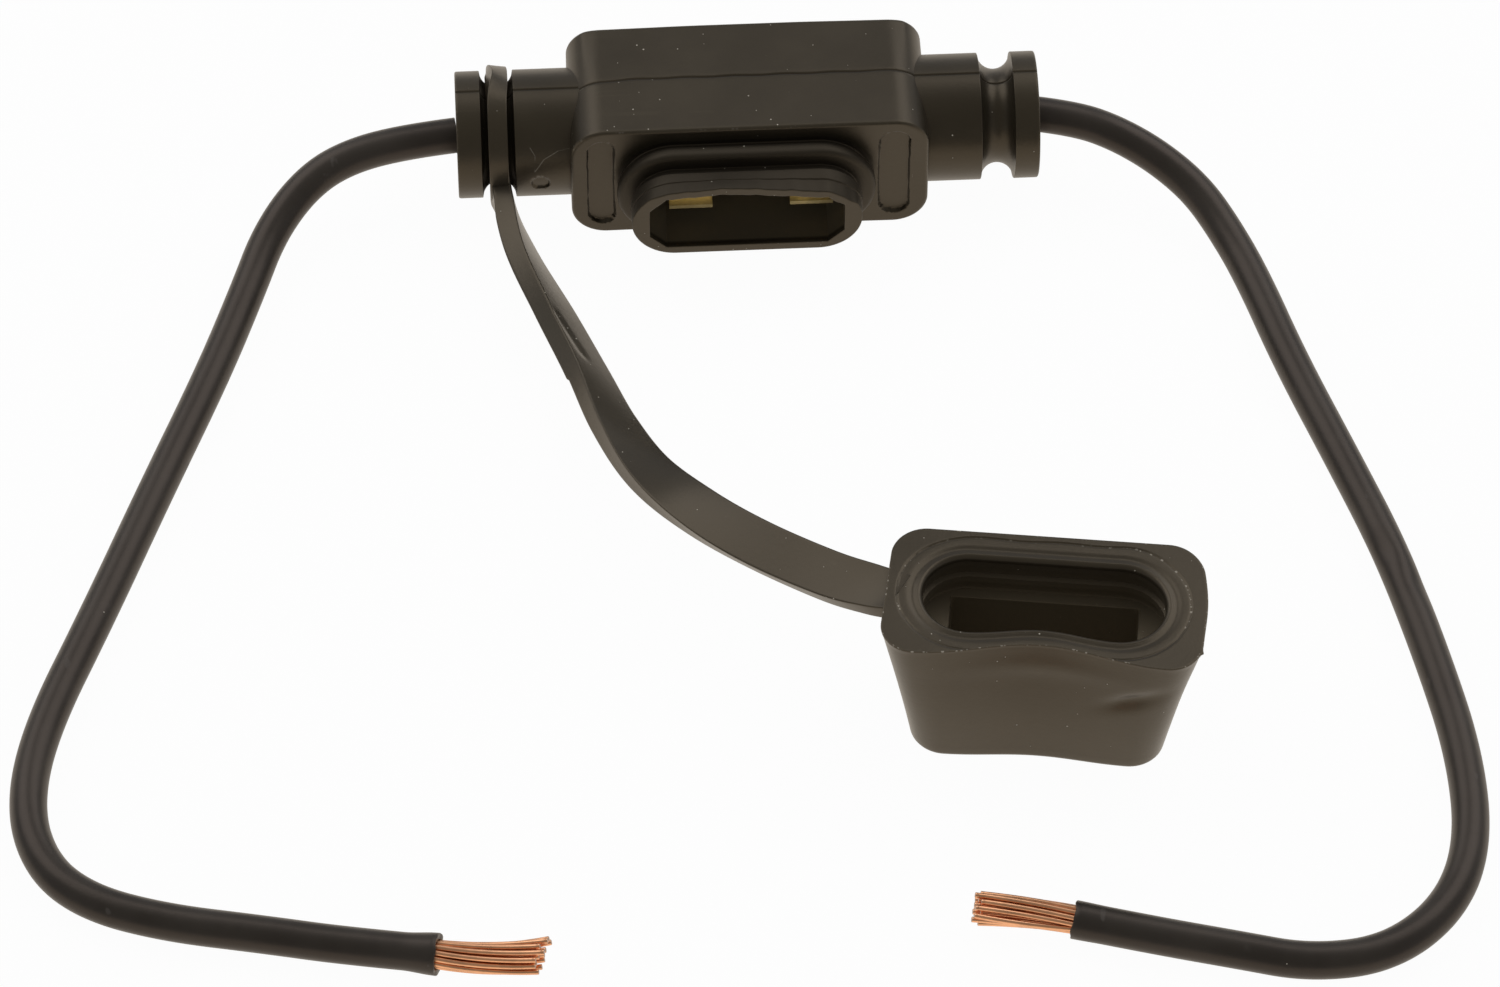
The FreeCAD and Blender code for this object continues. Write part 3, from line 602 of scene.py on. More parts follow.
def neck_profile(s, lead_radius, groove, mark):
    """The section of a neck as x and radius: plain part, half-round groove, flange and the hole that the lead
    fills. Where there is a round print, the plain part has closer points round its middle."""
    r = s.neck_diameter / 2
    end = s.whole_length / 2
    inside_block = s.body_length / 2 - 1
    groove_start, groove_end = groove - s.groove_radius, groove + s.groove_radius
    lip = 0.02
    plain = softened(
        [(inside_block, r * 0.5), (inside_block, r), (groove_start, r), (groove_start + lip, r - 0.15)],
        (0, 0.1, 0.05, 0))
    bend = np.linspace(0.0, math.pi, 19)[1:-1]
    trough = np.stack([groove - s.groove_radius * np.cos(bend), r - s.groove_radius * np.sin(bend)], -1)
    flange = softened(
        [(groove_end - lip, r - 0.15), (groove_end, r), (end, r), (end, lead_radius + 0.1),
         (end - 0.7, lead_radius + 0.03), (end - 0.7, 0.3)],
        (0, 0.05, 0.16, 0.12, 0.05, 0))
    profile = np.vstack([plain, trough[1:-1], flange])
    if mark is None:
        return profile
    fine = np.linspace(mark - 0.9, mark + 0.9, 25)
    on_top = np.flatnonzero(np.abs(profile[:, 1] - r) < 1e-9)
    insert = on_top[profile[on_top, 0] < fine[0]][-1] + 1
    return np.vstack([profile[:insert], np.stack([fine, np.full_like(fine, r)], -1), profile[insert:]])


def housing_neck(s, side, lead_radius):
    """One neck turned about X, with the mould's line along it and, on the left one, a round print."""
    r = s.neck_diameter / 2
    end = s.whole_length / 2
    groove = s.body_length / 2 + s.neck_length + s.groove_radius
    mark = s.body_length / 2 + s.mark_margin + s.mark_diameter / 2 if side < 0 else None
    profile = neck_profile(s, lead_radius, groove, mark)
    angle = neck_angles(192 if side < 0 else 128)
    along = profile[:, :1] * np.ones_like(angle)
    radius = profile[:, 1:] * np.ones_like(angle)
    from_line = np.minimum(np.abs(angle - math.pi / 2), np.abs(angle - 1.5 * math.pi)) * r
    radius = radius - s.parting_depth * hump(from_line, 0.0, s.parting_width) * (radius > lead_radius + 0.5)
    y = radius * np.cos(angle)
    z = radius * np.sin(angle)
    if mark is not None:
        away = np.hypot(along - mark, z + s.mark_drop) - s.mark_diameter / 2
        y = y + s.mark_depth * smoothstep(0.0, -0.09, away) * (y < 0)
    on_edge = (np.abs(along - end) < 0.12) & (np.abs(profile[:, 1:] - r) < 0.12)
    on_flange = (along > groove + s.groove_radius) & (profile[:, 1:] > r - 0.01)
    # The flange's outer edge is marked as worn; the rest of the flange is marked 0.5, which the rubber paints
    # paler as painted light.
    exposure = np.maximum(0.8 * on_edge, 0.5 * on_flange)
    return closed_shell(np.stack([side * along, y, z + s.body_height / 2], -1), exposure)


# Cap, strap and ring

def cap_rows(s, base, rim, mouth, seat, pocket):
    """Rows of the cap's skin as reach, height and exposure: the closed end, the wall, the rim, the mouth's
    rounding, and inside it the seat, bead, heel and pocket, which count as deeper the lower they lie."""
    h = s.height
    edge = s.base_edge
    rows = [(base * 0.5, 0, 0), (base - edge - 0.15, 0, 0)]
    for a in np.linspace(0.0, math.pi / 2, 7):
        z = edge * (1 - math.cos(a))
        rows.append((base + (rim - base) * z / h - edge * (1 - math.sin(a)), z, 0.4 * math.sin(2 * a)))
    for f in np.linspace(0.09, 0.975, 34):
        rows.append((base + (rim - base) * f, h * f, 0))
    rim_edge = ((0.0, 0.12, 0.3), (0.012, 0.05, 0.8), (0.0, 0.012, 1.0), (-0.05, 0.0, 1.0), (-0.13, 0.0, 0.4))
    for out, drop, exposure in rim_edge:
        rows.append((rim + out, h - drop, exposure))
    edge = s.mouth_edge
    for f in np.linspace(0.0, 1.0, 48):
        rows.append((rim - 0.2 + (mouth + edge + 0.02 - rim + 0.2) * f, h, 0))
    for a in np.linspace(0.0, math.pi / 2, 8):
        rows.append((mouth + edge * (1 - math.sin(a)), h - edge * (1 - math.cos(a)), 0.5 * math.sin(2 * a)))
    bead = seat - s.bead_proud
    lip_end = h - s.mouth_lip
    seat_end = lip_end - s.seat_depth
    bead_end = seat_end - s.bead_length
    heel = bead_end - s.heel_depth
    steps = [
        (mouth, h - edge - 0.1), (mouth, lip_end), (seat, lip_end - 0.08), (seat, seat_end),
        (bead, seat_end - 0.1), (bead, bead_end), (seat, bead_end - 0.1),
        (seat, heel + 0.12), (seat - 0.06, heel), (pocket + 0.05, heel), (pocket, heel - 0.06),
        (pocket, s.floor + 0.08), (pocket - 0.08, s.floor), (pocket * 0.5, s.floor),
    ]
    # The deeper a row lies, the further below zero it is marked, which the rubber turns into painted light:
    # paler deeper in.
    for (reach_a, z_a), (reach_b, z_b) in zip(steps, steps[1:]):
        for f in (0.0, 0.12, 0.5, 0.88):
            depth = (h - z_a - (z_b - z_a) * f) / (h - s.floor)
            rows.append((reach_a + (reach_b - reach_a) * f, z_a + (z_b - z_a) * f, -0.35 - 0.65 * depth))
    rows.append((*steps[-1], -1))
    return rows


def wall_flaws(s, rays, x, reach, z, exposure, rim, mouth):
    """The reach with the marks of this cap's wall: a dent at the right of its front, a soft swell under the
    rim, and a right end that bows out at the rim and is drawn in lower down."""
    start, dx, dy = rays
    level = z / s.height
    on_wall = (exposure == 0) & (level > 0.07) & (level < 0.99) & (reach > mouth + 1)
    dent = WALL_DENT * hump(x, 5.9, 1.6) * hump(z, 6.9 + 0.45 * (x - 5.9), 0.65)
    swell = WALL_SWELL * hump(x, 0.3, 4.4) * hump(z, s.height - 1.9, 0.8)
    reach = reach + on_wall * smoothstep(-0.2, -0.6, dy) * (swell - dent)
    inner = mouth + s.mouth_edge
    outward = np.clip((reach - inner) / (rim - inner), 0.0, 1.0) * (exposure > -0.3)
    right_end = smoothstep(0.7, 0.92, dx) * (start > 0)
    bulge = END_BULGE * hump(dy * reach, 0.5, 2.9) * smoothstep(0.5, 1.0, level)
    return reach + outward * right_end * (bulge - END_HOLLOW * hump(level, 0.5, 0.25))


def rim_flaws(s, rays, x, reach, z, exposure, rim, mouth):
    """Reach, height and exposure with the marks of this cap's rim: the fine groove of the mould's line, a
    small step down and a valley inside it, dust caught along it, and a nib at the front right corner."""
    start, dx, dy = rays
    h = s.height
    on_rim = (np.abs(z - h) < 1e-6) & (reach > mouth + s.mouth_edge)
    from_mouth = reach - mouth - s.mouth_edge
    line = s.witness_margin + 0.05 * np.sin(1.3 * x + 0.5) * (dy > -0.5)
    inner = (z > h / 2) * (1 - smoothstep(line, line + 0.1, from_mouth)) * (exposure > -0.3)
    valley = RIM_VALLEY * hump(from_mouth, 0.34, 0.24) * on_rim
    z = z - on_rim * RIM_LINE * hump(from_mouth, line, 0.07) - inner * (RIM_STEP + valley)
    caught = on_rim * hump(from_mouth, line, 0.13) * smoothstep(-0.9, -0.2, dy)
    corner = math.atan2(-3.46, 5.42)
    nib = hump(np.arctan2(dy, dx), corner, 0.016) * (start > 0) * smoothstep(h - 0.5, h - 0.05, z)
    reach = reach + RIM_NIB * nib * (reach > rim - 0.1)
    return reach, z, np.where(on_rim, np.maximum(exposure, caught), exposure)


def cap_shell(s, lip_width, lip_height):
    """The cap as one closed skin: up the outside, over the rim and down to the floor of the pocket."""
    spine = (lip_width - lip_height) / 2
    rays = spine_rays(spine, 70, 120)
    start, dx, dy = rays
    base = reach_of(cap_level(s.base_width, s.base_width, s.base_depth, s.base_waist, s.corner), rays)
    rim = reach_of(cap_level(s.rim_front, s.rim_back, s.rim_depth, s.rim_waist, s.corner), rays)
    pocket = reach_of(rounded_box(s.pocket_width / 2, s.pocket_height / 2, 0.12), rays)
    drawn_in = np.where(dy < -0.999, waisted_side(start, spine, s.mouth_waist), 0.0)
    mouth = lip_height / 2 - s.mouth_grip - drawn_in
    seat = lip_height / 2 + s.seat_clearance - drawn_in
    reach, z, exposure = row_grids(cap_rows(s, base, rim, mouth, seat, pocket), np.ones_like(start))
    x = start + dx * reach
    reach = wall_flaws(s, rays, x, reach, z, exposure, rim, mouth)
    reach, z, exposure = rim_flaws(s, rays, x, reach, z, exposure, rim, mouth)
    return closed_shell(np.stack([start + dx * reach, dy * reach, z], -1), exposure)


def cap_placed(points, place, yaw):
    """Turns points about the upright axis by the cap's yaw and moves them to its place."""
    turned = points.copy()
    turned[:, 0] = points[:, 0] * math.cos(yaw) - points[:, 1] * math.sin(yaw) + place[0]
    turned[:, 1] = points[:, 0] * math.sin(yaw) + points[:, 1] * math.cos(yaw) + place[1]
    turned[:, 2] = points[:, 2] + place[2]
    return turned


def strap_lines(s, place, yaw, groove_x, axis_height):
    """The strap's middle line, lean, width and thickness, each as a smooth line through its stations."""
    leaves_ring = math.radians(23.0)
    root = s.ring_inner + 0.35
    first = (-groove_x, -root * math.cos(leaves_ring), axis_height - root * math.sin(leaves_ring))
    end = np.array([[0.8 - (s.rim_front + s.rim_back) / 4, -0.25, s.height - s.strap_cap_thickness / 2]])
    last = cap_placed(end, place, yaw)[0]
    stations = np.vstack([first, STRAP_ROUTE, last])
    count = 360
    middle = through(stations, count)
    lean = through(np.array(STRAP_LEAN, float)[:, None], count)[:, 0]
    way = np.linspace(0.0, 1.0, count)
    width = s.strap_ring_width + (s.strap_cap_width - s.strap_ring_width) * way
    thin = np.clip((way * 10 - 4) / 6, 0.0, 1.0)
    thickness = s.ring_thickness + (s.strap_cap_thickness - s.ring_thickness) * thin
    return middle, np.radians(lean), width, thickness


def strap_outline(w, t, r):
    """A rounded rectangle for each station from its half width, half thickness and corner radius, as two
    grids: how far each point lies along the broad side and across it."""
    arc = np.linspace(0.0, math.pi / 2, 5)
    a_parts, b_parts = [], []
    for sign_a, sign_b in ((1, 1), (-1, 1), (-1, -1), (1, -1)):
        before_broad_side = sign_a == sign_b
        turn = arc if before_broad_side else arc[::-1]
        a_parts.append(sign_a * (w - r + r * np.cos(turn)[None]))
        b_parts.append(sign_b * (t - r + r * np.sin(turn)[None]))
        if before_broad_side:
            inner = np.linspace(0.94, -0.94, 21)[None] * sign_a
            a_parts.append(inner * (w - r))
            b_parts.append(np.ones_like(inner) * sign_b * t)
        else:
            inner = np.array([0.8, 0.0, -0.8])[None] * sign_b
            a_parts.append(np.ones_like(inner) * sign_a * w)
            b_parts.append(inner * (t - r))
    return np.hstack(a_parts), np.hstack(b_parts)


def strap_shell(s, place, yaw, groove_x, axis_height):
    """A flat band carried along the strap's line: at every station a rounded rectangle whose broad side
    stands upright at the ring and leans over until it lies flat at the cap. Its hidden side is thicker from
    near the ring up to a small step, and a slanting crease crosses the broad side before the step."""
    middle, lean, width, thickness = strap_lines(s, place, yaw, groove_x, axis_height)
    along = np.gradient(middle, axis=0)
    along[0, 0] = 0.0
    along[-1, 2] = 0.0
    along /= np.linalg.norm(along, axis=1)[:, None]
    up = np.array([0.0, 0.0, 1.0]) - along * along[:, 2:]
    up /= np.linalg.norm(up, axis=1)[:, None]
    side = np.cross(up, along)
    broad = up * np.cos(lean)[:, None] - side * np.sin(lean)[:, None]
    thin = up * np.sin(lean)[:, None] + side * np.cos(lean)[:, None]
    r, w, t = 0.09, width[:, None] / 2, thickness[:, None] / 2
    a, b = strap_outline(w, t, r)
    way = np.linspace(0.0, 1.0, len(middle))[:, None]
    b = b - STRAP_NOTCH * (1 - smoothstep(0.307, 0.313, way)) * smoothstep(0.02, 0.06, way) * (b < 0)
    crease_line = 0.8 - 0.5 * (way - 0.215) / 0.075
    crease = hump(a / w, crease_line, 0.2) * smoothstep(0.2, 0.23, way) * (1 - smoothstep(0.275, 0.3, way))
    b = b - STRAP_CREASE * crease * (b > 0.9 * t)
    rings = middle[:, None] + broad[:, None] * a[:, :, None] + thin[:, None] * b[:, :, None]
    rings[:, :, 2] = np.minimum(rings[:, :, 2], s.height)
    return closed_shell(rings, 0.25 * (np.abs(np.abs(a) - w) < r))


def ring_shell(s, groove_x, axis_height):
    """The flat ring turned about the neck's axis from a small rounded rectangle. Near the top the strap's
    pull has rolled it over, so that its right side looks up."""
    half = s.ring_thickness / 2
    inner, outer = s.ring_inner, s.ring_inner + s.ring_wall
    corners = [(0, inner), (half, inner), (half, outer), (-half, outer), (-half, inner), (0, inner)]
    section = softened(corners, (0, 0.18, 0.07, 0.07, 0.18, 0))[:-1]
    angle = np.linspace(0.0, 2 * math.pi, 160, endpoint=False)
    middle = (inner + outer) / 2
    roll = math.radians(38.0) * hump(angle, math.radians(68.0), math.radians(24.0))[:, None]
    across, proud = section[None, :, 0], section[None, :, 1] - middle
    x = across * np.cos(roll) + proud * np.sin(roll) - groove_x
    radius = middle + proud * np.cos(roll) - across * np.sin(roll) * 0.6
    y = radius * np.cos(angle)[:, None]
    z = radius * np.sin(angle)[:, None] + axis_height
    # The whole ring is marked 0.5, which the rubber paints paler as painted light.
    return closed_loop(np.stack([x, y, z], -1), 0.5)


# Leads and strands

def route_points(name, route):
    """Points along the smooth line of a route: a second-order NURBS curve through its control points."""
    curve = bpy.data.curves.new(name, "CURVE")
    curve.dimensions = "3D"
    spline = curve.splines.new("NURBS")
    spline.points.add(len(route) - 1)
    spline.points.foreach_set("co", np.hstack([np.array(route), np.ones((len(route), 1))]).ravel())
    spline.order_u = 3
    spline.use_endpoint_u = True
    spline.resolution_u = 24
    holder = bpy.data.objects.new(name, curve)
    bpy.context.scene.collection.objects.link(holder)
    bpy.context.view_layer.update()
    mesh = bpy.data.meshes.new_from_object(holder)
    points = np.zeros(len(mesh.vertices) * 3)
    mesh.vertices.foreach_get("co", points)
    bpy.data.meshes.remove(mesh)
    bpy.data.objects.remove(holder)
    bpy.data.curves.remove(curve)
    return points.reshape(-1, 3)


def evenly(points, count):
    """The same line with its points spread evenly by length, and the length up to each."""
    steps = np.linalg.norm(np.diff(points, axis=0), axis=1)
    length = np.concatenate([[0.0], np.cumsum(steps)])
    at = np.linspace(0.0, length[-1], count)
    return np.stack([np.interp(at, length, points[:, i]) for i in range(3)], -1), at


def frames_along(points):
    """At each point the direction of the line, the level direction across it, and the one square to both."""
    along = np.gradient(points, axis=0)
    along /= np.linalg.norm(along, axis=1)[:, None]
    across = np.cross(np.array([0.0, 0.0, 1.0]), along)
    across /= np.linalg.norm(across, axis=1)[:, None]
    return along, across, np.cross(along, across)


def directions_round(across, up, angle):
    """At each point of a line, the directions square to it at the given angles."""
    return across[:, None] * np.cos(angle)[None, :, None] + up[:, None] * np.sin(angle)[None, :, None]


def lead_jacket(name, lead, s):
    """A vinyl jacket along the lead's route, as a piece and its middle line. Its radius is the plain one plus
    a flare at the cut end, less soft dents. The cut shows the jacket's wall and a short way into its bore."""
    points, at = evenly(route_points(name + "_line", lead.route), 620)
    points = points / MM
    at = at / MM
    radius = s.diameter / 2
    angle = np.linspace(0.0, 2 * math.pi, 40, endpoint=False)
    along, across, up = frames_along(points)
    shape = (radius + lead.flare * smoothstep(at[-1] - 2.2, at[-1], at)[:, None]) * np.ones((1, len(angle)))
    for place, facing, long, deep in lead.dents:
        turned = np.abs((angle - math.radians(facing) + math.pi) % (2 * math.pi) - math.pi)
        shape = shape - deep * hump(at, place, long)[:, None] * hump(turned, 0.0, 0.7)[None]
    directions = directions_round(across, up, angle)
    outside = points[:, None] + directions * shape[:, :, None]
    ragged = 0.04 * np.sin(3 * angle + 1.0) + 0.025 * np.sin(7 * angle)
    slant = lead.cut_lean * np.cos(angle - lead.cut_facing) + ragged
    tip = radius + lead.flare
    bore = radius - s.jacket_wall
    cut = ((tip, 0.0), (tip - 0.03, -0.05), (tip - 0.09, -0.07), (bore + 0.06, -0.05), (bore + 0.01, 0.0),
           (bore, 0.15))
    rows = [points[-1] + directions[-1] * r + along[-1] * (slant - drop)[:, None] for r, drop in cut]
    rows.append(points[-1] + directions[-1] * bore - along[-1] * 1.4)
    rings = np.concatenate([outside[:-3], np.array(rows)])
    rings[:, :, 2] = np.maximum(rings[:, :, 2], 0.0)
    piece = build_piece(name, [closed_shell(rings)], "Lead vinyl", sharp=50.0)
    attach(piece, HOLDER)
    return piece, points * MM


def strand_places():
    """Ring number and angle of the strands of one lead: one in the middle and whole rings round it."""
    return [(ring, 2 * math.pi * i / count) for ring, count in enumerate((1, 6, 12)) for i in range(count)]


def strand_shell(middle, radius):
    """One round strand along its middle line, with a small chamfer and a cut face that counts as exposed."""
    along, across, up = frames_along(middle)
    directions = directions_round(across, up, np.linspace(0.0, 2 * math.pi, 12, endpoint=False))
    tip = middle[-1] + along[-1] * 0.02
    face = [tip + directions[-1] * (radius - 0.03), tip + directions[-1] * (radius * 0.4)]
    rings = np.concatenate([middle[:, None] + directions * radius, np.array(face)])
    exposure = np.zeros(rings.shape[:2])
    exposure[-2:] = 1.0
    return closed_shell(rings, exposure)


def strand_bundle(name, lead, line, s, bare):
    """Bared strands: each leaves the jacket in its place, turns with the lay, spreads, and follows
    base + length + rise t^2 - 4 sag t (1 - t), with a small waver of its own. The slant shortens one side of
    the bundle."""
    base = line[-1] / MM
    along = (line[-1] - line[-6]) / np.linalg.norm(line[-1] - line[-6])
    across = np.cross([0.0, 0.0, 1.0], along)
    across /= np.linalg.norm(across)
    up = np.cross(along, across)
    pitch = s.strand_diameter + 0.012
    shells = []
    random = np.random.default_rng(7)
    for number, (ring, place) in enumerate(strand_places(), start=1):
        length = 1 + (0.25 * math.sin(2.4 * number) + lead.slant * ring * math.cos(place)) / bare
        t = np.linspace(-0.2, 1.0, 34) * length
        spread = np.clip(t, 0, None)
        turn = place + math.radians(22) * t
        radius = ring * pitch * (1 + (lead.spread - 1) * spread)
        waver = 0.05 * random.normal(size=2)
        tip_across, tip_up, bow = lead.kinks.get(number, (0.0, 0.0, 0.0))
        arch = 4 * spread * (1 - spread)
        sideways = radius * np.cos(turn) + (waver[0] + tip_across) * spread ** 2 + bow * arch
        upwards = radius * np.sin(turn) + (waver[1] + tip_up) * spread ** 2 - lead.sag * arch
        middle = (
            base + along * (bare * t)[:, None] + np.array(lead.rise) * (spread ** 2)[:, None]
            + across * sideways[:, None] + up * upwards[:, None]
        )
        shells.append(strand_shell(middle, s.strand_diameter / 2))
    piece = build_piece(name, shells, "Bare copper", sharp=60.0)
    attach(piece, HOLDER)
    return piece


# Materials

class Nodes:
    """Short ways to add nodes to one tree. What they are given is a socket of the tree or a plain value."""

    def __init__(self, tree):
        self.tree = tree

    def feed(self, socket, value):
        """Links a value to a socket, or sets it there; a colour of three numbers is taken as opaque."""
        if isinstance(value, bpy.types.NodeSocket):
            self.tree.links.new(value, socket)
        elif socket.type == "RGBA" and len(value) == 3:
            socket.default_value = (*value, 1.0)
        else:
            socket.default_value = value

    def put(self, kind, **values):
        """A new node with its settings and sockets filled in; an underscore stands for a space."""
        node = self.tree.nodes.new(kind)
        for name, value in values.items():
            label = name.replace("_", " ")
            if label in node.inputs:
                self.feed(node.inputs[label], value)
            else:
                setattr(node, name, value)
        return node

    def maths(self, operation, *values, clamp=False):
        """The result of one Math node."""
        node = self.put("ShaderNodeMath", operation=operation, use_clamp=clamp)
        for socket, value in zip(node.inputs, values):
            self.feed(socket, value)
        return node.outputs[0]

    def vectors(self, operation, a, b, output="Vector"):
        """The result of one Vector Math node."""
        node = self.put("ShaderNodeVectorMath", operation=operation)
        self.feed(node.inputs[0], a)
        self.feed(node.inputs[1], b)
        return node.outputs[output]

    def scaled(self, vector, scale):
        """The vector times one number."""
        return self.put("ShaderNodeVectorMath", operation="SCALE", Vector=vector, Scale=scale).outputs[0]

    def times(self, a, b):
        """The product of two numbers."""
        return self.maths("MULTIPLY", a, b)

    def plus(self, a, b):
        """The sum of two numbers."""
        return self.maths("ADD", a, b)

    def larger(self, a, b):
        """The larger of two numbers."""
        return self.maths("MAXIMUM", a, b)

    def inverse(self, a):
        """1 less a number."""
        return self.maths("SUBTRACT", 1.0, a)

    def total(self, first, *parts):
        """A number plus a sum of products, each given as a pair."""
        for pair in parts:
            first = self.plus(self.times(*pair), first)
        return first

    def between(self, value, low, high):
        """A value mapped smoothly from 0 at low to 1 at high."""
        return self.put(
            "ShaderNodeMapRange", interpolation_type="SMOOTHSTEP", Value=value, From_Min=low, From_Max=high,
        ).outputs["Result"]

    def mixed(self, factor, a, b):
        """A mix of two colours."""
        node = self.put("ShaderNodeMix", data_type="RGBA", Factor=factor)
        self.feed(node.inputs[6], a)
        self.feed(node.inputs[7], b)
        return node.outputs[2]

    def show(self, factor, lit, seen, output):
        """Sends a mix of two shaders to the tree's output node."""
        mix = self.tree.nodes.new("ShaderNodeMixShader")
        for socket, value in zip(mix.inputs, (factor, lit, seen)):
            self.feed(socket, value)
        self.feed(self.tree.nodes[output].inputs["Surface"], mix.outputs[0])


class Finish(Nodes):
    """The tree of a new material, with its shader and the object coordinates that its patterns read."""

    def __init__(self, name):
        material = bpy.data.materials.new(name)
        material.use_nodes = True
        super().__init__(material.node_tree)
        self.shader = self.tree.nodes["Principled BSDF"]
        self.coordinates = self.tree.nodes.new("ShaderNodeTexCoord").outputs["Object"]

    def effect(self, group, **values):
        """The outputs of one of the shared effects, placed in the material with its own values."""
        tree = bpy.data.node_groups[group]
        return self.put("ShaderNodeGroup", node_tree=tree, Coordinates=self.coordinates, **values).outputs

    def exposure(self):
        """How worn each point is, and below zero where painted shade and painted light go, from the mesh."""
        return self.put("ShaderNodeAttribute", attribute_name="exposure").outputs["Fac"]

    def varied(self, tone, low, high, dark, light):
        """A colour that goes from dark to light as the grain's tone goes from low to high."""
        return self.mixed(self.between(tone, low, high), dark, light)

    def raised(self, height, distance):
        """A normal from a height."""
        return self.put("ShaderNodeBump", Strength=1.0, Distance=distance, Height=height).outputs["Normal"]

    def surface(self, **values):
        """Fills the shader's sockets; an underscore stands for a space."""
        for name, value in values.items():
            self.feed(self.shader.inputs[name.replace("_", " ")], value)


def shade(colour, factor):
    """A colour times a number, with no part above 1."""
    return tuple(min(1.0, factor * c) for c in colour)


def effect_group(name, outputs, **inputs):
    """A new shader node group with its nodes, what it is given and what it gives. It reads coordinates and
    the named inputs, numbers or vectors by their default; an underscore stands for a space."""
    tree = bpy.data.node_groups.new(name, "ShaderNodeTree")
    tree.interface.new_socket("Coordinates", in_out="INPUT", socket_type="NodeSocketVector")
    for label, default in inputs.items():
        kind = "NodeSocketFloat" if isinstance(default, float) else "NodeSocketVector"
        socket = tree.interface.new_socket(label.replace("_", " "), in_out="INPUT", socket_type=kind)
        socket.default_value = default
    for label in outputs:
        tree.interface.new_socket(label, in_out="OUTPUT", socket_type="NodeSocketFloat")
    return Nodes(tree), tree.nodes.new("NodeGroupInput").outputs, tree.nodes.new("NodeGroupOutput").inputs


def dust_group():
    """Small round specks: inside a random share of the cells of a Voronoi pattern, near the cell's point."""
    make, given, result = effect_group("Dust specks", ["Mask"], Scale=900.0, Amount=0.3, Size=0.12)
    place = make.scaled(given["Coordinates"], given["Scale"])
    cells = make.put(
        "ShaderNodeTexVoronoi", voronoi_dimensions="3D", feature="F1", Scale=1.0, Vector=place).outputs
    chance = make.put("ShaderNodeSeparateColor", Color=cells["Color"]).outputs
    chosen = make.maths("LESS_THAN", chance[0], given["Amount"])
    limit = make.times(given["Size"], make.plus(chance[1], 0.35))
    spot = make.inverse(make.between(cells["Distance"], make.times(limit, 0.6), limit))
    make.feed(result["Mask"], make.times(spot, chosen))


def grain_group():
    """The unevenness of a moulding: a broad soft noise for tone and a fine one for the surface."""
    make, given, result = effect_group(
        "Moulded grain", ["Tone", "Height"], Broad_scale=160.0, Fine_scale=2600.0, Fine_share=0.4)
    place = make.scaled(given["Coordinates"], given["Broad scale"])
    broad = make.put("ShaderNodeTexNoise", Scale=1.0, Detail=3.0, Roughness=0.55, Vector=place).outputs["Fac"]
    place = make.scaled(given["Coordinates"], given["Fine scale"])
    fine = make.put("ShaderNodeTexNoise", Scale=1.0, Detail=4.0, Roughness=0.6, Vector=place).outputs["Fac"]
    make.feed(result["Tone"], broad)
    make.feed(result["Height"], make.total(broad, (fine, given["Fine share"])))


def scratch_group():
    """Fine scratches along one direction: thin bands of a noise that is stretched along it."""
    make, given, result = effect_group("Fine scratches", ["Mask"], Stretch=(60.0, 1800.0, 1800.0), Amount=0.5)
    place = make.vectors("MULTIPLY", given["Coordinates"], given["Stretch"])
    lines = make.put("ShaderNodeTexNoise", Scale=1.0, Detail=2.0, Roughness=0.5, Vector=place).outputs["Fac"]
    place = given["Coordinates"]
    patches = make.put("ShaderNodeTexNoise", Scale=220.0, Detail=1.0, Vector=place).outputs["Fac"]
    mask = make.times(make.between(lines, 0.66, 0.72), make.between(patches, 0.5, 0.62))
    make.feed(result["Mask"], make.times(mask, given["Amount"]))


def hair_group():
    """A hair line: 1 within a small distance of the straight stretch between two points."""
    make, given, result = effect_group(
        "Hair line", ["Mask"], From=(0.0, 0.0, 0.0), To=(0.0, 0.0, 0.01), Width=0.00005)
    run = make.vectors("SUBTRACT", given["To"], given["From"])
    away = make.vectors("SUBTRACT", given["Coordinates"], given["From"])
    along = make.vectors("DOT_PRODUCT", away, run, "Value")
    whole = make.vectors("DOT_PRODUCT", run, run, "Value")
    part = make.maths("DIVIDE", along, whole, clamp=True)
    gap = make.vectors("DISTANCE", away, make.scaled(run, part), "Value")
    beyond = make.between(gap, make.times(given["Width"], 0.3), given["Width"])
    make.feed(result["Mask"], make.inverse(beyond))


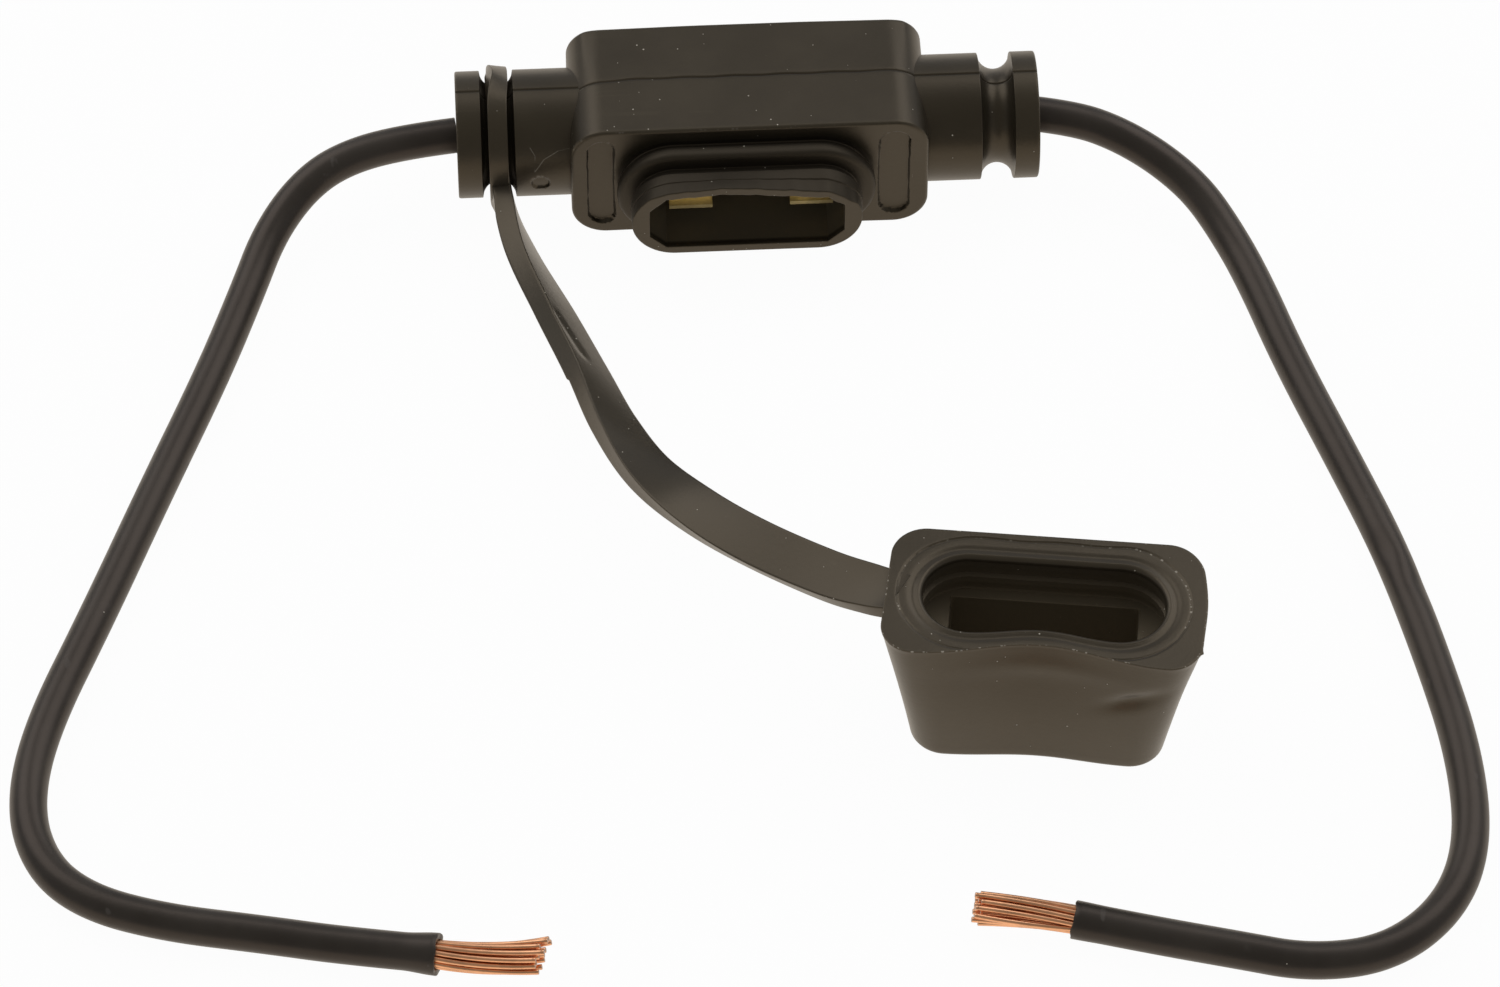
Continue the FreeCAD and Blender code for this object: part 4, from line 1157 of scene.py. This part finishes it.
def rubber_finish(name, colour, dust, amount, roughness, hairs, caught_share, low_paleness):
    """Satin moulded rubber: warm dark tone that varies a little, painted shade that darkens and dulls the
    collar, and painted light that makes the wells paler. On it lie dust specks, dust caught along worn edges,
    a tone that grows paler towards the table, and a few hairs and scratches."""
    make = Finish(name)
    grain = make.effect("Moulded grain")
    small = make.effect("Dust specks", Scale=2200.0, Amount=0.16 * amount, Size=0.11)["Mask"]
    large = make.effect("Dust specks", Scale=820.0, Amount=0.06 * amount, Size=0.07)["Mask"]
    dense = make.effect("Dust specks", Scale=4200.0, Amount=0.75, Size=0.4)["Mask"]
    scratches = make.effect("Fine scratches", Amount=0.35)["Mask"]
    exposure = make.exposure()
    at_edge = make.times(dense, make.between(exposure, 0.55, 1.0))
    patchy = make.times(make.between(grain["Tone"], 0.36, 0.5), caught_share)
    specks = make.larger(make.larger(small, large), make.times(at_edge, patchy))
    for start, end, width, strength in hairs:
        hair = make.effect("Hair line", From=start, To=end, Width=width)["Mask"]
        specks = make.larger(specks, make.times(hair, strength))
    # Painted shade: below zero, on the collar behind the lip and in the wells, the tone is darkened towards
    # black and the surface made rougher.
    painted_shade_and_dullness = make.between(exposure, -0.02, -0.15)
    # Painted light: the deeper a point lies in a well, the paler its tone.
    inside = make.between(exposure, -0.2, -0.9)
    height = make.put("ShaderNodeSeparateXYZ", Vector=make.coordinates).outputs["Z"]
    # Paler towards the table: mixed towards the dust colour below 7.5 mm, by the given share.
    paler_near_table = make.times(make.between(height, 0.0075, 0.0), low_paleness)
    # Paler where the mark is high: wear on edges, with the scratches, and painted light on the lip's end
    # face, the flanges and the ring.
    wear_and_painted_light = make.maths("MULTIPLY", make.total(scratches, (exposure, 0.7)), 0.5, clamp=True)
    tone = make.varied(grain["Tone"], 0.3, 0.7, shade(colour, 0.82), shade(colour, 1.25))
    tone = make.mixed(make.times(painted_shade_and_dullness, 0.7), tone, BLACK)
    tone = make.mixed(inside, tone, shade(colour, WELL_PAINTED_LIGHT))
    tone = make.mixed(paler_near_table, tone, dust)
    tone = make.mixed(wear_and_painted_light, tone, shade(colour, 2.6))
    make.surface(
        Specular_Tint=RUBBER_GLOSS, IOR=1.6, Base_Color=make.mixed(specks, tone, dust),
        Roughness=make.total(roughness - 0.06, (grain["Tone"], 0.12), (painted_shade_and_dullness, 0.2), (specks, 0.3)),
        Normal=make.raised(make.total(grain["Height"], (specks, 0.6)), 0.00002))


def vinyl_finish(name, colour, dust, amount):
    """Smooth vinyl: dark, glossier than the rubber, with faint scuffs and a few specks."""
    make = Finish(name)
    grain = make.effect("Moulded grain", Broad_scale=210.0, Fine_scale=1900.0, Fine_share=0.2)
    specks = make.effect("Dust specks", Scale=900.0, Amount=0.05 * amount, Size=0.06)["Mask"]
    scratches = make.effect("Fine scratches", Stretch=(900.0, 300.0, 900.0), Amount=0.5)["Mask"]
    tone = make.varied(grain["Tone"], 0.3, 0.7, shade(colour, 0.85), shade(colour, 1.3))
    tone = make.mixed(make.times(scratches, 0.5), tone, (0.16, 0.15, 0.14))
    make.surface(
        Specular_Tint=VINYL_GLOSS, Base_Color=make.mixed(specks, tone, dust),
        Roughness=make.total(0.3, (grain["Tone"], 0.12), (scratches, 0.25)),
        Normal=make.raised(grain["Height"], 0.00004))


def brass_finish(name, colour):
    """Rolled brass strip with fine lines along the roll and a slight tarnish."""
    make = Finish(name)
    grain = make.effect("Moulded grain", Broad_scale=900.0, Fine_scale=6000.0)
    lines = make.effect("Fine scratches", Stretch=(6000.0, 300.0, 6000.0), Amount=0.8)["Mask"]
    tone = make.varied(grain["Tone"], 0.35, 0.7, shade(colour, 0.72), colour)
    make.surface(
        Metallic=1.0, Base_Color=make.mixed(lines, tone, (0.85, 0.72, 0.38)),
        Roughness=make.total(0.34, (grain["Tone"], 0.2)), Normal=make.raised(grain["Height"], 0.000004))


def copper_finish(name, colour):
    """Drawn bare copper: bright, with darker tarnish in patches and duller cut ends."""
    make = Finish(name)
    grain = make.effect("Moulded grain", Broad_scale=700.0, Fine_scale=5200.0)
    cut = make.exposure()
    tone = make.varied(grain["Tone"], 0.36, 0.62, shade(colour, 0.84), colour)
    make.surface(
        Metallic=1.0, Base_Color=make.mixed(cut, tone, (0.52, 0.42, 0.36)),
        Roughness=make.total(0.2, (grain["Tone"], 0.2), (cut, 0.3)),
        Normal=make.raised(grain["Height"], 0.000002))


def floor_finish(name, white):
    """Plain white sweep: lit as a pale surface, and mixed towards even white in the picture and towards a
    slightly warm white in gloss."""
    make = Finish(name)
    make.surface(Base_Color=(0.86, 0.86, 0.86), Roughness=0.7, Specular_IOR_Level=0.1)
    path = make.tree.nodes.new("ShaderNodeLightPath").outputs
    tone = make.mixed(path["Is Glossy Ray"], WHITE, FLOOR_IN_GLOSS)
    glow = make.put("ShaderNodeEmission", Strength=1.0, Color=tone)
    seen = make.times(make.larger(path["Is Camera Ray"], path["Is Glossy Ray"]), white)
    make.show(seen, make.shader.outputs[0], glow.outputs[0], "Material Output")


def softbox(name, place, aim, side, power):
    """A square area lamp at a place, turned to its aim."""
    lamp = bpy.data.lights.new(name, "AREA")
    lamp.shape = "SQUARE"
    lamp.size = side
    lamp.energy = power
    holder = bpy.data.objects.new(name, lamp)
    bpy.context.scene.collection.objects.link(holder)
    holder.location = place
    holder.rotation_mode = "QUATERNION"
    holder.rotation_quaternion = (Vector(aim) - Vector(place)).to_track_quat("-Z", "Y")


def towards_camera(s):
    """The direction from the aim to the camera."""
    turn, rise = s.camera_azimuth, s.camera_elevation
    return Vector((math.sin(turn) * math.cos(rise), -math.cos(turn) * math.cos(rise), math.sin(rise)))


# Operators

class FUSEHOLDER_OT_finishes(Operator):
    """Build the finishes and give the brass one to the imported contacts"""
    bl_idname = "fuse_holder.finishes"
    bl_label = "Finishes"

    def execute(self, context):
        s = context.scene.fuse_holder_finishes
        dust_group()
        grain_group()
        scratch_group()
        hair_group()
        rubber_finish("Moulded rubber", s.rubber, s.dust, s.dust_amount, 0.37, HOUSING_HAIRS, 0.1, 0.0)
        rubber_finish("Cap rubber", s.cap_rubber, s.dust, s.dust_amount, 0.31, CAP_HAIRS, 0.6, 0.1)
        vinyl_finish("Lead vinyl", s.vinyl, s.dust, s.dust_amount)
        brass_finish("Contact brass", s.brass)
        copper_finish("Bare copper", s.copper)
        kept = {"contact_left": "Contact brass", "contact_right": "Contact brass",
                "lead_end_left": "Lead vinyl", "lead_end_right": "Lead vinyl"}
        for node, finish in kept.items():
            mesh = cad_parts[node].data
            mesh.materials.clear()
            mesh.materials.append(bpy.data.materials[finish])
        return {"FINISHED"}


class FUSEHOLDER_OT_housing(Operator):
    """Build the moulded housing with its collar, well, recesses and necks"""
    bl_idname = "fuse_holder.housing"
    bl_label = "Housing"

    def execute(self, context):
        s = in_millimetres(context.scene.fuse_holder_housing)
        lead = context.scene.fuse_holder_leads.diameter / MM / 2
        shells = [housing_block(s), housing_neck(s, -1, lead), housing_neck(s, 1, lead)]
        piece = build_piece("housing_moulding", shells, "Moulded rubber")
        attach(piece, HOLDER)
        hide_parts("housing")
        return {"FINISHED"}


class FUSEHOLDER_OT_cap(Operator):
    """Build the cap with its strap and ring"""
    bl_idname = "fuse_holder.cap"
    bl_label = "Cap, strap and ring"

    def execute(self, context):
        group = context.scene.fuse_holder_cap
        s = in_millimetres(group)
        housing = in_millimetres(context.scene.fuse_holder_housing)
        place = np.array(group.place) / MM
        groove_x = housing.body_length / 2 + housing.neck_length + housing.groove_radius
        axis_height = housing.body_height / 2
        lip_width = housing.socket_width + 2 * housing.lip_end_wall
        lip_height = housing.socket_height + 2 * housing.lip_side_wall
        points, *faces = cap_shell(s, lip_width, lip_height)
        shells = [
            (cap_placed(points, place, group.yaw), *faces),
            strap_shell(s, place, group.yaw, groove_x, axis_height),
            ring_shell(s, groove_x, axis_height),
        ]
        piece = build_piece("cap_moulding", shells, "Cap rubber")
        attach(piece, CAP_BODY)
        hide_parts("cap")
        return {"FINISHED"}


class FUSEHOLDER_OT_leads(Operator):
    """Build both leads with their bared strands"""
    bl_idname = "fuse_holder.leads"
    bl_label = "Leads"

    def execute(self, context):
        s = in_millimetres(context.scene.fuse_holder_leads)
        for side, lead in LEADS.items():
            jacket, line = lead_jacket("lead_jacket_" + side, lead, s)
            strands = strand_bundle("copper_strands_" + side, lead, line, s, getattr(s, side + "_bare"))
            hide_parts("lead_" + side)
            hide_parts(*["strand_{}_{:02d}".format(side, i) for i in range(1, 20)])
        return {"FINISHED"}


class FUSEHOLDER_OT_stage(Operator):
    """Set the floor, the softboxes, the even surround and the camera"""
    bl_idname = "fuse_holder.stage"
    bl_label = "Studio"

    def execute(self, context):
        s = context.scene.fuse_holder_studio
        floor_finish("White sweep", s.white_share)
        reach, drop = 3.0, 0.00002
        corners = [(x * reach, y * reach, -drop) for x, y in ((-1, -1), (1, -1), (1, 1), (-1, 1))]
        mesh = bpy.data.meshes.new("studio_floor")
        mesh.from_pydata(corners, [], [(0, 1, 2, 3)])
        mesh.materials.append(bpy.data.materials["White sweep"])
        floor = bpy.data.objects.new("studio_floor", mesh)
        context.scene.collection.objects.link(floor)
        aim = Vector((0.0, -0.03, 0.0))
        rise, away, side = math.radians(47.0), 0.6, 0.46
        for name, degrees in (("softbox_left", -46.0), ("softbox_right", 46.0)):
            turn = math.radians(degrees)
            way = Vector((math.sin(turn) * math.cos(rise), math.cos(turn) * math.cos(rise), math.sin(rise)))
            softbox(name, aim + way * away, aim, side, s.lamp_power)
        self.surround(context, s)
        self.camera(context, s)
        context.scene.view_settings.view_transform = "Standard"
        return {"FINISHED"}

    def surround(self, context, s):
        """A pale tent that lights softly, is darker round its open side, and shows as white behind all."""
        world = bpy.data.worlds.new("Studio surround")
        context.scene.world = world
        world.use_nodes = True
        make = Nodes(world.node_tree)
        generated = make.tree.nodes.new("ShaderNodeTexCoord").outputs["Generated"]
        facing = make.vectors("DOT_PRODUCT", generated, towards_camera(s), "Value")
        light = make.tree.nodes["Background"]
        make.feed(light.inputs["Color"], make.mixed(make.between(facing, 0.55, 0.9), s.tent, s.opening))
        white = make.put("ShaderNodeBackground", Strength=1.0, Color=WHITE)
        in_view = make.tree.nodes.new("ShaderNodeLightPath").outputs["Is Camera Ray"]
        make.show(in_view, light.outputs[0], white.outputs[0], "World Output")

    def camera(self, context, s):
        """The camera looks from the given turn and elevation at its aim, with a small roll."""
        data = bpy.data.cameras.new("product_camera")
        data.sensor_width = 36.0
        data.lens = s.focal_length
        camera = bpy.data.objects.new("product_camera", data)
        context.scene.collection.objects.link(camera)
        turn, roll = s.camera_azimuth, s.camera_roll
        back = towards_camera(s)
        right = Vector((math.cos(turn), math.sin(turn), 0.0))
        up = back.cross(right)
        rolled_right = right * math.cos(roll) + up * math.sin(roll)
        rolled_up = up * math.cos(roll) - right * math.sin(roll)
        place = Vector(s.camera_aim) + back * s.camera_distance
        axes = Matrix((rolled_right, rolled_up, back)).transposed()
        camera.matrix_world = Matrix.Translation(place) @ axes.to_4x4()
        context.scene.camera = camera


class FUSEHOLDER_PT_panel(Panel):
    """Lists the sizes and the steps that build the fuse holder"""
    bl_idname = "FUSEHOLDER_PT_panel"
    bl_label = "Fuse holder"
    bl_space_type = "VIEW_3D"
    bl_region_type = "UI"
    bl_category = "Fuse holder"

    def draw(self, context):
        layout = self.layout
        for name, group in GROUPS.items():
            box = layout.box()
            settings = getattr(context.scene, name)
            for field in group.__annotations__:
                box.prop(settings, field)
        for step in STEPS:
            layout.operator(step.bl_idname)


STEPS = (
    FUSEHOLDER_OT_finishes, FUSEHOLDER_OT_housing, FUSEHOLDER_OT_cap, FUSEHOLDER_OT_leads,
    FUSEHOLDER_OT_stage,
)


def register():
    for group in GROUPS.values():
        bpy.utils.register_class(group)
    for name, group in GROUPS.items():
        setattr(bpy.types.Scene, name, PointerProperty(type=group))
    for step in STEPS:
        bpy.utils.register_class(step)
    bpy.utils.register_class(FUSEHOLDER_PT_panel)


def unregister():
    bpy.utils.unregister_class(FUSEHOLDER_PT_panel)
    for step in reversed(STEPS):
        bpy.utils.unregister_class(step)
    for name in GROUPS:
        delattr(bpy.types.Scene, name)
    for group in reversed(GROUPS.values()):
        bpy.utils.unregister_class(group)


def main():
    register()
    bpy.ops.fuse_holder.finishes()
    bpy.ops.fuse_holder.housing()
    bpy.ops.fuse_holder.cap()
    bpy.ops.fuse_holder.leads()
    bpy.ops.fuse_holder.stage()


if __name__ == "__main__":
    main()
